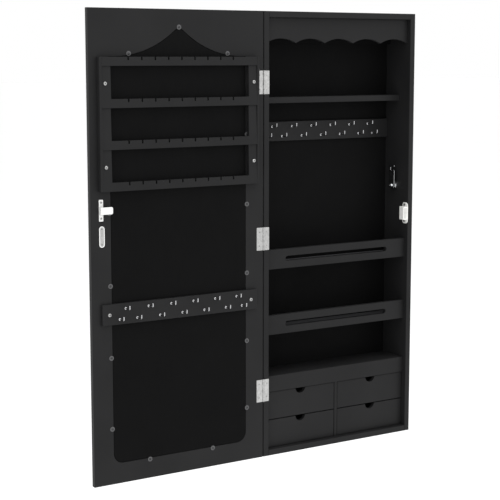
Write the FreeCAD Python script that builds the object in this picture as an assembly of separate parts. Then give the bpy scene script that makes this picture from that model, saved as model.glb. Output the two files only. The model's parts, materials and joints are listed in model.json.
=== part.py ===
import FreeCAD
import Part

import math
import os

from FreeCAD import Vector

# Wall-mounted jewelry cabinet with a mirror door, drawn with the door swung fully open.
# Bench frame: X across the cabinet from its middle, Y into the cabinet from its front edges,
# Z up from its lower edge. Finished pieces are moved so that the origin lies on the wall, in
# the middle of the cabinet's back. All sizes are in millimetres.

# Carcass
CABINET_WIDTH = 375.0
CABINET_HEIGHT = 900.0
CABINET_DEPTH = 84.0
BOARD = 12.0                # sides, top, bottom and full shelves
BACK = 3.0                  # back panel
BACK_LAP = 6.0              # width of the rebate round the back panel
BACK_CLEARANCE = 0.5        # back panel to the edge of its rebate
HOUSING = 3.0               # depth of the grooves that carry shelves and tray floors
EDGE_ROUND = 1.2            # softened edges of the outer boards
FRONT_ROUND = 0.6           # softened front edges of the boards inside
DOWEL_DIAMETER = 6.0
DOWEL_IN_SIDE = 8.0
DOWEL_IN_PANEL = 16.0
DOWEL_SETBACK = 20.0        # from the front and back edges

# Clearances
FIT = 0.05                  # round a screw, dowel, pin or plug
PLAY = 0.3                  # between a sliding or turning piece and its neighbour
OVERCUT = 1.0               # how far a cutting shape stands clear of what it cuts
TOLERANCE = 1e-6            # a length below this counts as nothing

# Boards set back behind the front edges
FACE_SETBACK = 11.0
FACE_BOARD = 9.0            # valance, tray rails, fascia and drawer fronts
VALANCE_HEIGHT = 50.0
SCALLOPS = 5
SCALLOP_RISE = 9.0

# Hanging rail and its wall screws
HANGING_RAIL = 12.0
HANGING_RAIL_HEIGHT = 50.0
HANGING_HOLE_DIAMETER = 5.5
HANGING_HOLE_SPACING = 280.0

# Shelf and hook bar in the upper half, measured down from the top
UPPER_SHELF_DROP = 170.0
UPPER_SHELF_SETBACK = 36.0
INNER_HOOK_BAR = 6.0
INNER_HOOK_BAR_DROP = 241.5
HOOK_BAR_HEIGHT = 40.0

# Hooks, in two staggered rows
HOOK_PITCH = 48.6
HOOK_END_OFFSET = 134.0     # the outermost hooks stand closer in than a full pitch
HOOK_ROW_SPACING = 20.0
HOOK_WIRE = 2.4
HOOK_COLLAR = 5.0
HOOK_COLLAR_THICKNESS = 1.0
HOOK_REACH = 18.0
HOOK_BEND = 3.0
HOOK_RISE = 8.0
HOOK_EMBED = 4.0

# Trays with a slotted rail, measured up from the bottom
UPPER_TRAY_BOTTOM = 384.0
LOWER_TRAY_BOTTOM = 249.0
TRAY_RAIL_HEIGHT = 40.0
TRAY_FLOOR = 6.0
SLOT_MARGIN = 47.5          # side board to the end of the slot
SLOT_HEIGHT = 9.5
SLOT_ROUND = 1.5

# Drawers, two rows of two
DRAWER_SHELF_TOP = 163.0
FASCIA_HEIGHT = 33.0
DIVIDER = 7.0
DIVIDER_HOUSING = 2.0
DECK = 3.0
DRAWER_SETBACK = 13.0
DRAWER_GAP = 0.9            # round each drawer front
DRAWER_ROW_GAP = 1.8
DRAWER_SIDE = 5.0
DRAWER_SIDE_HEIGHT = 44.0
DRAWER_FLOOR = 3.0
DRAWER_FLOOR_RISE = 3.0
DRAWER_GROOVE = 2.0
DRAWER_BACK_GAP = 3.0
NOTCH_RADIUS = 12.0
NOTCH_DEPTH = 11.0

# Door with the mirror
DOOR = 14.0
DOOR_GAP = 2.0              # between the closed door and the cabinet
DOOR_FRONT_ROUND = 3.5
GLASS = 3.0
BACKING = 3.0
BACKING_SINK = 0.3          # backing board below the door's inner face
MIRROR_CLEARANCE = 1.0
MIRROR_LAP = 8.0            # how far the front lip covers the glass
LIP_BEVEL = 3.0
DOOR_STILE = 40.5           # solid wood beside the mirror's rebate
DOOR_BOTTOM_RAIL = 40.0
DOOR_TOP_RAIL = 36.0        # above the tip of the arch
MIRROR_CORNER = 20.0
ARCH_HEIGHT = 52.0          # from the lowest point of the flanks to the tip
ARCH_RADIUS = 195.0
ARCH_OFFSET = 138.0         # centre of each flank from the door's middle

# Washers that hold the mirror in its rebate
WASHER_DIAMETER = 9.5
WASHER = 0.8
WASHER_OFFSET = 2.4         # screw centre beyond the rebate's edge
WASHER_LOWEST = 69.0        # above the rebate's lower edge
WASHER_HIGHEST = 152.0      # below the arch's flanks
WASHERS_PER_SIDE = 5
BOTTOM_WASHER_X = 70.0
FLANK_WASHER_X = 106.0
SMALL_SCREW_DIAMETER = 2.4
SMALL_HEAD_DIAMETER = 4.8
SMALL_HEAD_HEIGHT = 1.4
WASHER_SCREW_LENGTH = 10.0

# Rack for earrings on the door
RACK_MARGIN = 16.0          # door edge to rack
RACK_DROP = 89.0            # top of the rack below the top of the door
RACK_BAR = 16.5
RACK_PITCH = 77.0
RACK_STILE = 23.5           # end of the rack to its windows
RACK_CHEEK = 5.0
RACK_BOARD = 6.0
RACK_FOOT = 12.0            # door to the front of each board's lower edge
RACK_HEAD = 9.5             # door to the front of each board's upper edge
RACK_NOTCHES = 9
RACK_NOTCH_PITCH = 28.1
RACK_NOTCH_WIDTH = 3.0
RACK_NOTCH_DEPTH = 6.5
RACK_WINDOW_CORNER = 2.0
RACK_SCREW_INSET = 12.0     # end of the rack to its screws
RACK_SCREW_RISE = 45.0
RACK_SCREW_LENGTH = 18.0
SPOT_FACE = 0.15

# Hook bar on the door
DOOR_HOOK_BAR = 6.5
DOOR_HOOK_BAR_MARGIN = 18.25
DOOR_HOOK_BAR_HEIGHT = 331.0
DOOR_BAR_SCREW_INSET = 14.25
DOOR_BAR_SCREW_LENGTH = 15.0
PAN_HEAD_DIAMETER = 7.0
PAN_HEAD_HEIGHT = 2.2
PAN_SCREW_DIAMETER = 3.2
HEAD_CROWN = 0.6            # flat top of a pan head, as a share of its width
HEAD_RIM = 0.5              # upright rim of a pan head, as a share of its height

# Butt hinges
HINGE_LENGTH = 46.0
HINGE_INSET = 139.0         # end hinges from the top and bottom
HINGE_LEAF = 0.9
CABINET_LEAF_EDGE = 0.4     # leaf to the inner edge of the side
DOOR_LEAF_WIDTH = 15.4      # from the door's edge
DOOR_LEAF_SCREW = 9.24      # from the door's edge
HINGE_PIN_DIAMETER = 1.8
KNUCKLES = 5
HINGE_SCREW_SPACING = 28.0
HINGE_SCREW_LENGTH = 11.0
HINGE_HEAD_DIAMETER = 4.2
PIN_HEAD_DIAMETER = 2.8
PIN_HEAD_HEIGHT = 0.6

# Cam lock through the right side
LOCK_DROP = 363.7
LOCK_SETBACK = 45.0
BARREL_DIAMETER = 12.0
BARREL_REACH = 8.6          # beyond the inside of the side board
FLANGE_RIM = 3.0            # flange beyond the barrel
FLANGE = 1.8
BARREL_WALL = 1.75          # round the plug
NUT_WALL = 1.25             # thinnest, at the middle of a flat
NUT = 3.5
KEYWAY_WIDTH = 1.2
KEYWAY_HEIGHT = 6.0
KEYWAY_DEPTH = 8.0
CAM = 1.8
CAM_WIDTH = 19.0
CAM_REACH = 43.6
CAM_GAP = 0.5               # barrel to cam
CAM_SLOT_RADIUS = 36.5
CAM_SLOT = 8.0
CAM_SLOT_DEPTH = 13.0
CAM_SQUARE = 5.0
CAM_HEAD_DIAMETER = 7.0
CAM_HEAD_HEIGHT = 2.8
CAM_SCREW_LENGTH = 10.0

# Latch bracket on the door, which the cam hooks over
BRACKET_PLATE = 1.2
BRACKET_PLATE_HEIGHT = 40.5
BRACKET_EDGE = 16.6         # door edge to the bracket
BRACKET_WIDTH = 8.3
BRACKET_DROP = 7.9          # tongue centre below the lock
TONGUE_LENGTH = 23.7
TONGUE_HEIGHT = 13.4
TONGUE_CORNER = 3.0
BRACKET_BEND = 1.0
BRACKET_SCREW_SPACING = 30.0

# Magnetic catch on the right side, with its strike plate on the door
CATCH_DROP = 421.0
CATCH_HEIGHT = 28.0
CATCH_THICKNESS = 12.5
CATCH_PROUD = 0.5
CATCH_LENGTH = 15.0
CATCH_ROUND = 2.0
EAR = 2.0
EAR_HEIGHT = 45.0
EAR_LENGTH = 16.5
EAR_CORNER = 6.0
CATCH_SCREW_SPACING = 35.2
CATCH_SCREW_SETBACK = 9.7
MAGNET = 3.2
MAGNET_HEIGHT = 22.0
MAGNET_OFFSET = 7.0         # magnet's middle from the side board
POLE = 0.8
POLE_PROUD = 0.7
POLE_LENGTH = 10.6
STRIKE = 1.0
STRIKE_WIDTH = 10.9
STRIKE_HEIGHT = 39.8
STRIKE_EDGE = 21.9          # door edge to the strike's middle
STRIKE_RIM = 1.5
STRIKE_DISH = 0.3
STRIKE_SCREW_SPACING = 29.0
FITTING_SCREW_LENGTH = 9.0

# Heights and faces that follow from the sizes above
OUTER = CABINET_WIDTH / 2
INNER = OUTER - BOARD
INNER_BACK = CABINET_DEPTH - BACK
CEILING = CABINET_HEIGHT - BOARD
FACE_BACK = FACE_SETBACK + FACE_BOARD
UPPER_SHELF_BOTTOM = CABINET_HEIGHT - UPPER_SHELF_DROP - BOARD
INNER_HOOK_HEIGHT = CABINET_HEIGHT - INNER_HOOK_BAR_DROP
DRAWER_SHELF_BOTTOM = DRAWER_SHELF_TOP - BOARD
FASCIA_BOTTOM = DRAWER_SHELF_TOP - FASCIA_HEIGHT
SLOT_LENGTH = 2 * (INNER - SLOT_MARGIN)
DRAWER_FRONT_BACK = DRAWER_SETBACK + FACE_BOARD
DECK_FRONT = DRAWER_FRONT_BACK + PLAY
FRONT_HEIGHT = (FASCIA_BOTTOM - BOARD - 2 * DRAWER_GAP - DRAWER_ROW_GAP) / 2
MIDDLE_DECK = BOARD + DRAWER_GAP + FRONT_HEIGHT + (DRAWER_ROW_GAP - DECK) / 2
HINGE_X = -OUTER - DOOR_GAP / 2
HINGE_Y = -DOOR_GAP / 2
DOOR_RIGHT = -OUTER - DOOR_GAP
DOOR_LEFT = DOOR_RIGHT - CABINET_WIDTH
DOOR_MIDDLE = (DOOR_LEFT + DOOR_RIGHT) / 2
MIRROR_REBATE = GLASS + BACKING + BACKING_SINK
MIRROR_HALF = CABINET_WIDTH / 2 - DOOR_STILE
MIRROR_TIP = CABINET_HEIGHT - DOOR_TOP_RAIL
FLANK_LOW = MIRROR_TIP - ARCH_HEIGHT
ARCH_CENTRE = FLANK_LOW + ARCH_RADIUS
HINGE_HEIGHTS = (HINGE_INSET, CABINET_HEIGHT / 2, CABINET_HEIGHT - HINGE_INSET)
LOCK_HEIGHT = CABINET_HEIGHT - LOCK_DROP
CATCH_MIDDLE = CABINET_HEIGHT - CATCH_DROP
KNUCKLE_RADIUS = HINGE_PIN_DIAMETER / 2 + FIT + HINGE_LEAF
FLANGE_DIAMETER = BARREL_DIAMETER + 2 * FLANGE_RIM
PLUG_DIAMETER = BARREL_DIAMETER - 2 * BARREL_WALL
NUT_ACROSS_FLATS = BARREL_DIAMETER + 2 * NUT_WALL
CAM_OUTER_X = INNER - BARREL_REACH - CAM_GAP
CAM_INNER_X = CAM_OUTER_X - CAM
RACK_TOP = CABINET_HEIGHT - RACK_DROP
RACK_FEET = tuple(RACK_TOP - RACK_BAR - i * RACK_PITCH for i in range(4))
RACK_BOTTOM = RACK_FEET[-1]
SCREWED_FEET = (RACK_FEET[1], RACK_FEET[3])
RACK_HALF = CABINET_WIDTH / 2 - RACK_MARGIN
RACK_SCREW_X = RACK_HALF - RACK_SCREW_INSET
WINDOW_HALF = RACK_HALF - RACK_STILE
DOOR_HOOK_BAR_HALF = CABINET_WIDTH / 2 - DOOR_HOOK_BAR_MARGIN
DOOR_BAR_SCREW_X = DOOR_HOOK_BAR_HALF - DOOR_BAR_SCREW_INSET

NORMALS = {"xy": Vector(0, 0, 1), "xz": Vector(0, 1, 0), "yz": Vector(1, 0, 0)}
INWARD = Vector(0, 1, 0)
TO_RIGHT = Vector(1, 0, 0)
TO_LEFT = Vector(-1, 0, 0)


# Drawing helpers

def spot(plane, point, at):
    """Place of a flat point in a plane that lies at a distance along its normal."""
    if plane == "xy":
        return Vector(point.x, point.y, at)
    if plane == "xz":
        return Vector(point.x, at, point.y)
    return Vector(at, point.x, point.y)


def rounded_corner(before, corner, after, radius):
    """Start, middle and end of the arc that rounds a corner."""
    back = (before - corner).normalize()
    ahead = (after - corner).normalize()
    half = back.getAngle(ahead) / 2
    run = radius / math.tan(half)
    middle = corner + (back + ahead).normalize() * (radius / math.sin(half) - radius)
    return [corner + back * run, middle, corner + ahead * run]


def outline(corners, plane, at):
    """Closed wire through corners (u, v) or (u, v, radius)."""
    points = [Vector(corner[0], corner[1], 0) for corner in corners]
    stations = []
    for i, corner in enumerate(corners):
        station = [points[i]]
        if len(corner) == 3:
            after = points[(i + 1) % len(points)]
            station = rounded_corner(points[i - 1], points[i], after, corner[2])
        stations.append([spot(plane, point, at) for point in station])
    edges = []
    for i, station in enumerate(stations):
        if len(station) == 3:
            edges.append(Part.Arc(*station).toShape())
        start = station[-1]
        end = stations[(i + 1) % len(stations)][0]
        if (end - start).Length > TOLERANCE:
            edges.append(Part.LineSegment(start, end).toShape())
    return Part.Wire(edges)


def prism(corners, plane, low, high):
    """Solid with the given outline, from low to high along the plane's normal."""
    face = Part.Face(outline(corners, plane, low))
    return face.extrude(NORMALS[plane] * (high - low))


def box(xs, ys, zs):
    corner = Vector(min(xs), min(ys), min(zs))
    return Part.makeBox(max(xs) - min(xs), max(ys) - min(ys), max(zs) - min(zs), corner)


def rod(start, direction, length, diameter):
    return Part.makeCylinder(diameter / 2, length, start, direction)


def turned(profile, start, direction):
    """Turned piece from (radius, distance) corners, with its axis from start."""
    face = Part.Face(outline(profile, "xz", 0))
    piece = face.revolve(Vector(0, 0, 0), Vector(0, 0, 1), 360)
    piece.Placement = FreeCAD.Placement(start, FreeCAD.Rotation(Vector(0, 0, 1), direction))
    return piece


def fused(pieces):
    return pieces[0].multiFuse(pieces[1:]).removeSplitter()


def edges_at(piece, axis, level):
    """Edges that lie in the plane where the axis has the given level."""
    found = []
    for edge in piece.Edges:
        if all(abs(getattr(v.Point, axis) - level) < TOLERANCE for v in edge.Vertexes):
            found.append(edge)
    return found


def soften(piece, radius, axis, level):
    return piece.makeFillet(radius, edges_at(piece, axis, level))


def soften_lengthwise(piece, radius, level, direction):
    """Round the front edges at depth level that run in the given direction."""
    edges = []
    for edge in edges_at(piece, "y", level):
        heading = edge.tangentAt(edge.FirstParameter)
        if heading.cross(direction).Length < TOLERANCE:
            edges.append(edge)
    return piece.makeFillet(radius, edges)


def slot_corners(middle, level, length, height):
    """Outline of a slot with round ends."""
    radius = height / 2
    u0, u1 = middle - length / 2, middle + length / 2
    v0, v1 = level - radius, level + radius
    return [(u0, v0, radius), (u1, v0, radius), (u1, v1, radius), (u0, v1, radius)]


# Fasteners, each starting at the surface that its head bears on

def pan_screw(start, direction, length, shank, head, height):
    crown = HEAD_CROWN * head / 2
    corners = [(0, -height), (crown, -height), (head / 2, -HEAD_RIM * height), (head / 2, 0)]
    corners += [(shank / 2, 0), (shank / 2, length - shank), (0, length)]
    return turned(corners, start, direction)


def flat_screw(start, direction, length, shank, head):
    """Countersunk screw, flush with the surface at start."""
    sink = (head - shank) / 2
    corners = [(0, 0), (head / 2, 0), (shank / 2, sink)]
    corners += [(shank / 2, length - shank), (0, length)]
    return turned(corners, start, direction)


def flat_screw_hole(start, direction, length, shank, head):
    """Countersunk hole with clearance round a flush screw."""
    sink = (head - shank) / 2
    corners = [(0, -OVERCUT), (head / 2 + FIT + OVERCUT, -OVERCUT), (shank / 2 + FIT, sink)]
    corners += [(shank / 2 + FIT, length + FIT), (0, length + FIT)]
    return turned(corners, start, direction)


def pilot(start, direction, length, shank):
    return rod(start, direction, length + FIT, shank + 2 * FIT)


# Carcass

def wall_housings():
    """Grooves in the sides, as (lower edge, height, setback)."""
    return [
        (UPPER_SHELF_BOTTOM, BOARD, UPPER_SHELF_SETBACK),
        (UPPER_TRAY_BOTTOM, TRAY_FLOOR, FACE_BACK),
        (LOWER_TRAY_BOTTOM, TRAY_FLOOR, FACE_BACK),
        (DRAWER_SHELF_BOTTOM, BOARD, FACE_BACK),
        (FASCIA_BOTTOM, DECK, DECK_FRONT),
        (MIDDLE_DECK, DECK, DECK_FRONT),
    ]


def dowel_places():
    """Depth and height of each dowel in one side."""
    return [
        (y, z)
        for y in (DOWEL_SETBACK, CABINET_DEPTH - DOWEL_SETBACK)
        for z in (BOARD / 2, CABINET_HEIGHT - BOARD / 2)
    ]


def dowel(hand, y, z, clearance):
    start = Vector(hand * (INNER + DOWEL_IN_SIDE + clearance), y, z)
    length = DOWEL_IN_SIDE + DOWEL_IN_PANEL + 2 * clearance
    return rod(start, Vector(-hand, 0, 0), length, DOWEL_DIAMETER + 2 * clearance)


def dowels(clearance):
    return [dowel(hand, y, z, clearance) for hand in (-1, 1) for y, z in dowel_places()]


def side_board(hand):
    """Side board; hand is -1 on the left and 1 on the right."""
    inner = hand * INNER
    board = box((hand * OUTER, inner), (0, CABINET_DEPTH), (0, CABINET_HEIGHT))
    board = soften(board, EDGE_ROUND, "y", 0)
    lap = box(
        (inner, inner + hand * BACK_LAP),
        (INNER_BACK, CABINET_DEPTH),
        (BOARD - BACK_LAP, CEILING + BACK_LAP),
    )
    cuts = [lap] + dowels(FIT)
    for low, height, setback in wall_housings():
        cuts.append(box((inner, inner + hand * HOUSING), (setback, INNER_BACK), (low, low + height)))
    return board.cut(cuts)


def left_side():
    board = side_board(-1)
    cuts = [knuckle_relief(height) for height in HINGE_HEIGHTS]
    for start in cabinet_hinge_screw_places():
        cuts.append(pilot(start, INWARD, HINGE_SCREW_LENGTH, SMALL_SCREW_DIAMETER))
    return board.cut(cuts)


def right_side():
    board = side_board(1)
    cuts = [rod(lock_point(INNER), TO_RIGHT, BOARD, BARREL_DIAMETER + 2 * FIT)]
    for start in catch_screw_places():
        cuts.append(pilot(start, TO_RIGHT, FITTING_SCREW_LENGTH, SMALL_SCREW_DIAMETER))
    return board.cut(cuts)


def end_panel(low, lap_low):
    """Top or bottom board between the sides, rebated for the back panel."""
    board = box((-INNER, INNER), (0, CABINET_DEPTH), (low, low + BOARD))
    board = soften(board, EDGE_ROUND, "y", 0)
    lap = box((-INNER, INNER), (INNER_BACK, CABINET_DEPTH), (lap_low, lap_low + BACK_LAP))
    return board.cut([lap] + dowels(FIT))


def hanging_hole_rods():
    """Wall screw holes, long enough to pass through rail and back panel."""
    height = CEILING - HANGING_RAIL_HEIGHT / 2
    start_y = INNER_BACK - HANGING_RAIL - OVERCUT
    length = HANGING_RAIL + BACK + 2 * OVERCUT
    places = [x * HANGING_HOLE_SPACING / 2 for x in (-1, 1)]
    return [rod(Vector(x, start_y, height), INWARD, length, HANGING_HOLE_DIAMETER) for x in places]


def back_panel():
    half = INNER + BACK_LAP - BACK_CLEARANCE
    low = BOARD - BACK_LAP + BACK_CLEARANCE
    high = CEILING + BACK_LAP - BACK_CLEARANCE
    panel = box((-half, half), (INNER_BACK, CABINET_DEPTH), (low, high))
    return panel.cut(hanging_hole_rods())


def hanging_rail():
    front = INNER_BACK - HANGING_RAIL
    rail = box((-INNER, INNER), (front, INNER_BACK), (CEILING - HANGING_RAIL_HEIGHT, CEILING))
    return rail.cut(hanging_hole_rods())


def scalloped_valance():
    """Board under the top whose lower edge is a row of shallow arches."""
    cusp = CEILING - VALANCE_HEIGHT
    width = 2 * INNER / SCALLOPS
    edges = []
    for i in range(SCALLOPS):
        left = -INNER + i * width
        start = Vector(left, FACE_SETBACK, cusp)
        crown = Vector(left + width / 2, FACE_SETBACK, cusp + SCALLOP_RISE)
        end = Vector(left + width, FACE_SETBACK, cusp)
        edges.append(Part.Arc(start, crown, end).toShape())
    corners = [
        Vector(INNER, FACE_SETBACK, cusp),
        Vector(INNER, FACE_SETBACK, CEILING),
        Vector(-INNER, FACE_SETBACK, CEILING),
        Vector(-INNER, FACE_SETBACK, cusp),
    ]
    for start, end in zip(corners, corners[1:]):
        edges.append(Part.LineSegment(start, end).toShape())
    return Part.Face(Part.Wire(edges)).extrude(INWARD * FACE_BOARD)


def upper_shelf():
    half = INNER + HOUSING
    low = UPPER_SHELF_BOTTOM
    shelf = box((-half, half), (UPPER_SHELF_SETBACK, INNER_BACK), (low, low + BOARD))
    return soften_lengthwise(shelf, FRONT_ROUND, UPPER_SHELF_SETBACK, TO_RIGHT)


def tray_rail(bottom):
    """Front rail of a tray, with a long slot that has softened edges."""
    middle = bottom + TRAY_RAIL_HEIGHT / 2
    rail = box((-INNER, INNER), (FACE_SETBACK, FACE_BACK), (bottom, bottom + TRAY_RAIL_HEIGHT))
    rail = soften_lengthwise(rail, FRONT_ROUND, FACE_SETBACK, TO_RIGHT)
    corners = slot_corners(0, middle, SLOT_LENGTH, SLOT_HEIGHT)
    rail = rail.cut(prism(corners, "xz", FACE_SETBACK - OVERCUT, FACE_BACK + OVERCUT))
    reach = SLOT_HEIGHT / 2 + TOLERANCE
    edges = []
    for edge in edges_at(rail, "y", FACE_SETBACK):
        if all(abs(v.Point.z - middle) < reach for v in edge.Vertexes):
            edges.append(edge)
    return rail.makeFillet(SLOT_ROUND, edges)


def tray_floor(bottom):
    half = INNER + HOUSING
    return box((-half, half), (FACE_BACK, INNER_BACK), (bottom, bottom + TRAY_FLOOR))


def drawer_cover_shelf():
    half = INNER + HOUSING
    return box((-half, half), (FACE_BACK, INNER_BACK), (DRAWER_SHELF_BOTTOM, DRAWER_SHELF_TOP))


def drawer_fascia():
    board = box((-INNER, INNER), (FACE_SETBACK, FACE_BACK), (FASCIA_BOTTOM, DRAWER_SHELF_TOP))
    return soften_lengthwise(board, FRONT_ROUND, FACE_SETBACK, TO_RIGHT)


def drawer_divider():
    """Upright between the drawers, notched under the fascia and grooved for the decks."""
    half = DIVIDER / 2
    corners = [
        (FACE_SETBACK, BOARD),
        (INNER_BACK, BOARD),
        (INNER_BACK, DRAWER_SHELF_BOTTOM),
        (FACE_BACK, DRAWER_SHELF_BOTTOM),
        (FACE_BACK, FASCIA_BOTTOM),
        (FACE_SETBACK, FASCIA_BOTTOM),
    ]
    board = prism(corners, "yz", -half, half)
    board = soften_lengthwise(board, FRONT_ROUND, FACE_SETBACK, Vector(0, 0, 1))
    cuts = []
    for hand in (-1, 1):
        groove = (hand * half, hand * (half - DIVIDER_HOUSING))
        for low in (MIDDLE_DECK, FASCIA_BOTTOM):
            cuts.append(box(groove, (DECK_FRONT, INNER_BACK), (low, low + DECK)))
    return board.cut(cuts)


def drawer_decks():
    """Thin decks over both rows, left and right of the divider."""
    near = DIVIDER / 2 - DIVIDER_HOUSING
    far = INNER + HOUSING
    decks = []
    for hand in (-1, 1):
        for low in (MIDDLE_DECK, FASCIA_BOTTOM):
            decks.append(box((hand * near, hand * far), (DECK_FRONT, INNER_BACK), (low, low + DECK)))
    return decks


# Hooks

def hook_places(middle_x, middle_z):
    """Hook centres on a bar: six in the upper row and seven in the lower."""
    upper = [(i + 0.5) * HOOK_PITCH for i in range(-3, 3)]
    lower = [i * HOOK_PITCH for i in range(-2, 3)] + [-HOOK_END_OFFSET, HOOK_END_OFFSET]
    places = [(middle_x + x, middle_z + HOOK_ROW_SPACING / 2) for x in upper]
    return places + [(middle_x + x, middle_z - HOOK_ROW_SPACING / 2) for x in sorted(lower)]


def hook(x, y, z):
    """Hook with a collar on the face at y, a straight shank and an upturned tip."""
    radius = HOOK_WIRE / 2
    collar = HOOK_COLLAR / 2
    run = HOOK_REACH - HOOK_BEND
    shank_corners = [(0, -HOOK_EMBED), (radius, -HOOK_EMBED), (radius, 0), (collar, 0)]
    shank_corners += [(collar, HOOK_COLLAR_THICKNESS), (radius, HOOK_COLLAR_THICKNESS)]
    shank_corners += [(radius, run), (0, run)]
    shank = turned(shank_corners, Vector(x, y, z), -INWARD)
    bend_start = Vector(x, y - run, z)
    section = Part.Face(Part.Wire(Part.makeCircle(radius, bend_start, INWARD)))
    bend = section.revolve(bend_start + Vector(0, 0, HOOK_BEND), TO_LEFT, 90)
    tip_start = Vector(x, y - HOOK_REACH, z + HOOK_BEND)
    rise = HOOK_RISE - HOOK_BEND
    tip_corners = [(0, 0), (radius, 0), (radius, rise - radius / 2), (radius / 2, rise), (0, rise)]
    tip = turned(tip_corners, tip_start, Vector(0, 0, 1))
    return fused([shank, bend, tip])


def hook_holes(places, y):
    return [rod(Vector(x, y, z), INWARD, HOOK_EMBED + FIT, HOOK_WIRE + 2 * FIT) for x, z in places]


def inner_hook_bar():
    front = INNER_BACK - INNER_HOOK_BAR
    low = INNER_HOOK_HEIGHT - HOOK_BAR_HEIGHT / 2
    bar = box((-INNER, INNER), (front, INNER_BACK), (low, low + HOOK_BAR_HEIGHT))
    bar = soften(bar, EDGE_ROUND, "y", front)
    return bar.cut(hook_holes(hook_places(0, INNER_HOOK_HEIGHT), front))


def inner_hooks():
    front = INNER_BACK - INNER_HOOK_BAR
    return [hook(x, front, z) for x, z in hook_places(0, INNER_HOOK_HEIGHT)]


# Drawers

def drawer_cell(hand, row):
    """Inner and outer x, and the lower edge of the front, for one drawer."""
    near = hand * (DIVIDER / 2 + DRAWER_GAP)
    far = hand * (INNER - DRAWER_GAP)
    low = BOARD + DRAWER_GAP + row * (FRONT_HEIGHT + DRAWER_ROW_GAP)
    return near, far, low


def drawer_base(row):
    """Lower edge of the drawer's box, just above the board that carries it."""
    return PLAY + (BOARD if row == 0 else MIDDLE_DECK + DECK)


def drawer_floor(hand, row):
    near, far, _ = drawer_cell(hand, row)
    reach = hand * (DRAWER_SIDE - DRAWER_GROOVE)
    back = INNER_BACK - DRAWER_BACK_GAP - DRAWER_SIDE + DRAWER_GROOVE
    low = drawer_base(row) + DRAWER_FLOOR_RISE
    front = DRAWER_FRONT_BACK - DRAWER_GROOVE
    return box((near + reach, far - reach), (front, back), (low, low + DRAWER_FLOOR))


def drawer_front(hand, row):
    """Front board with a half-round finger notch in its upper edge."""
    near, far, low = drawer_cell(hand, row)
    high = low + FRONT_HEIGHT
    board = box((near, far), (DRAWER_SETBACK, DRAWER_FRONT_BACK), (low, high))
    board = soften(board, FRONT_ROUND, "y", DRAWER_SETBACK)
    level = high - NOTCH_DEPTH + NOTCH_RADIUS
    centre = Vector((near + far) / 2, DRAWER_SETBACK - OVERCUT, level)
    notch = rod(centre, INWARD, FACE_BOARD + 2 * OVERCUT, 2 * NOTCH_RADIUS)
    return board.cut([notch, drawer_floor(hand, row)])


def drawer_sides(hand, row):
    """Two side boards and the back board of a drawer, grooved for its floor."""
    near, far, _ = drawer_cell(hand, row)
    low = drawer_base(row)
    high = low + DRAWER_SIDE_HEIGHT
    back = INNER_BACK - DRAWER_BACK_GAP
    thick = hand * DRAWER_SIDE
    inner_side = box((near, near + thick), (DRAWER_FRONT_BACK, back), (low, high))
    outer_side = box((far - thick, far), (DRAWER_FRONT_BACK, back), (low, high))
    back_board = box((near + thick, far - thick), (back - DRAWER_SIDE, back), (low, high))
    floor = drawer_floor(hand, row)
    return [board.cut(floor) for board in (inner_side, outer_side, back_board)]


# Door and mirror

def arc(centre, radius, start, end, y):
    """Arc in an upright plane between two angles in radians."""
    points = []
    for angle in (start, (start + end) / 2, end):
        x = centre[0] + radius * math.cos(angle)
        z = centre[1] + radius * math.sin(angle)
        points.append(Vector(x, y, z))
    return Part.Arc(*points).toShape()


def arch_cap():
    """Radius and centre height of the small cap that joins both flanks at the tip."""
    rise = ARCH_CENTRE - MIRROR_TIP
    radius = (ARCH_OFFSET ** 2 + rise ** 2 - ARCH_RADIUS ** 2) / (2 * (ARCH_RADIUS - rise))
    return radius, MIRROR_TIP - radius


def mirror_wire(inset, y):
    """Mirror outline, drawn inset from the edge of its rebate: a keel arch over straight sides."""
    half = MIRROR_HALF - inset
    low = DOOR_BOTTOM_RAIL + inset
    corner = MIRROR_CORNER - inset
    flank = ARCH_RADIUS + inset
    cap, cap_height = arch_cap()
    cap -= inset
    shoulder = ARCH_CENTRE - math.sqrt(flank ** 2 - (half - ARCH_OFFSET) ** 2)
    start = math.atan2(shoulder - ARCH_CENTRE, half - ARCH_OFFSET)
    end = math.atan2(cap_height - ARCH_CENTRE, -ARCH_OFFSET)
    middle = DOOR_MIDDLE
    lean = end + math.pi
    edges = [
        arc((middle + ARCH_OFFSET, ARCH_CENTRE), flank, start, end, y),
        arc((middle, cap_height), cap, lean, math.pi - lean, y),
        arc((middle - ARCH_OFFSET, ARCH_CENTRE), flank, -math.pi - end, -math.pi - start, y),
        arc((middle - half + corner, low + corner), corner, math.pi, 1.5 * math.pi, y),
        arc((middle + half - corner, low + corner), corner, 1.5 * math.pi, 2 * math.pi, y),
    ]
    for x0, z0, x1, z1 in (
        (middle - half, shoulder, middle - half, low + corner),
        (middle - half + corner, low, middle + half - corner, low),
        (middle + half, low + corner, middle + half, shoulder),
    ):
        edges.append(Part.LineSegment(Vector(x0, y, z0), Vector(x1, y, z1)).toShape())
    return Part.Wire(Part.__sortEdges__(edges))


def mirror_slab(inset, low, high):
    return Part.Face(mirror_wire(inset, low)).extrude(INWARD * (high - low))


def door_frame():
    """Door board with a rebate behind for the mirror and a bevelled lip in front."""
    frame = box((DOOR_LEFT, DOOR_RIGHT), (0, DOOR), (0, CABINET_HEIGHT))
    frame = soften(frame, DOOR_FRONT_ROUND, "y", DOOR)
    frame = soften(frame, EDGE_ROUND, "y", 0)
    bevel_wires = [
        mirror_wire(MIRROR_LAP, DOOR - LIP_BEVEL),
        mirror_wire(MIRROR_LAP - LIP_BEVEL, DOOR),
    ]
    cuts = [
        mirror_slab(0, 0, MIRROR_REBATE),
        mirror_slab(MIRROR_LAP, 0, DOOR),
        Part.makeLoft(bevel_wires, True, True),
    ]
    cuts += [knuckle_relief(height) for height in HINGE_HEIGHTS]
    for start, length, shank in door_screw_places():
        cuts.append(pilot(start, INWARD, length, shank))
    return frame.cut(cuts)


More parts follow.
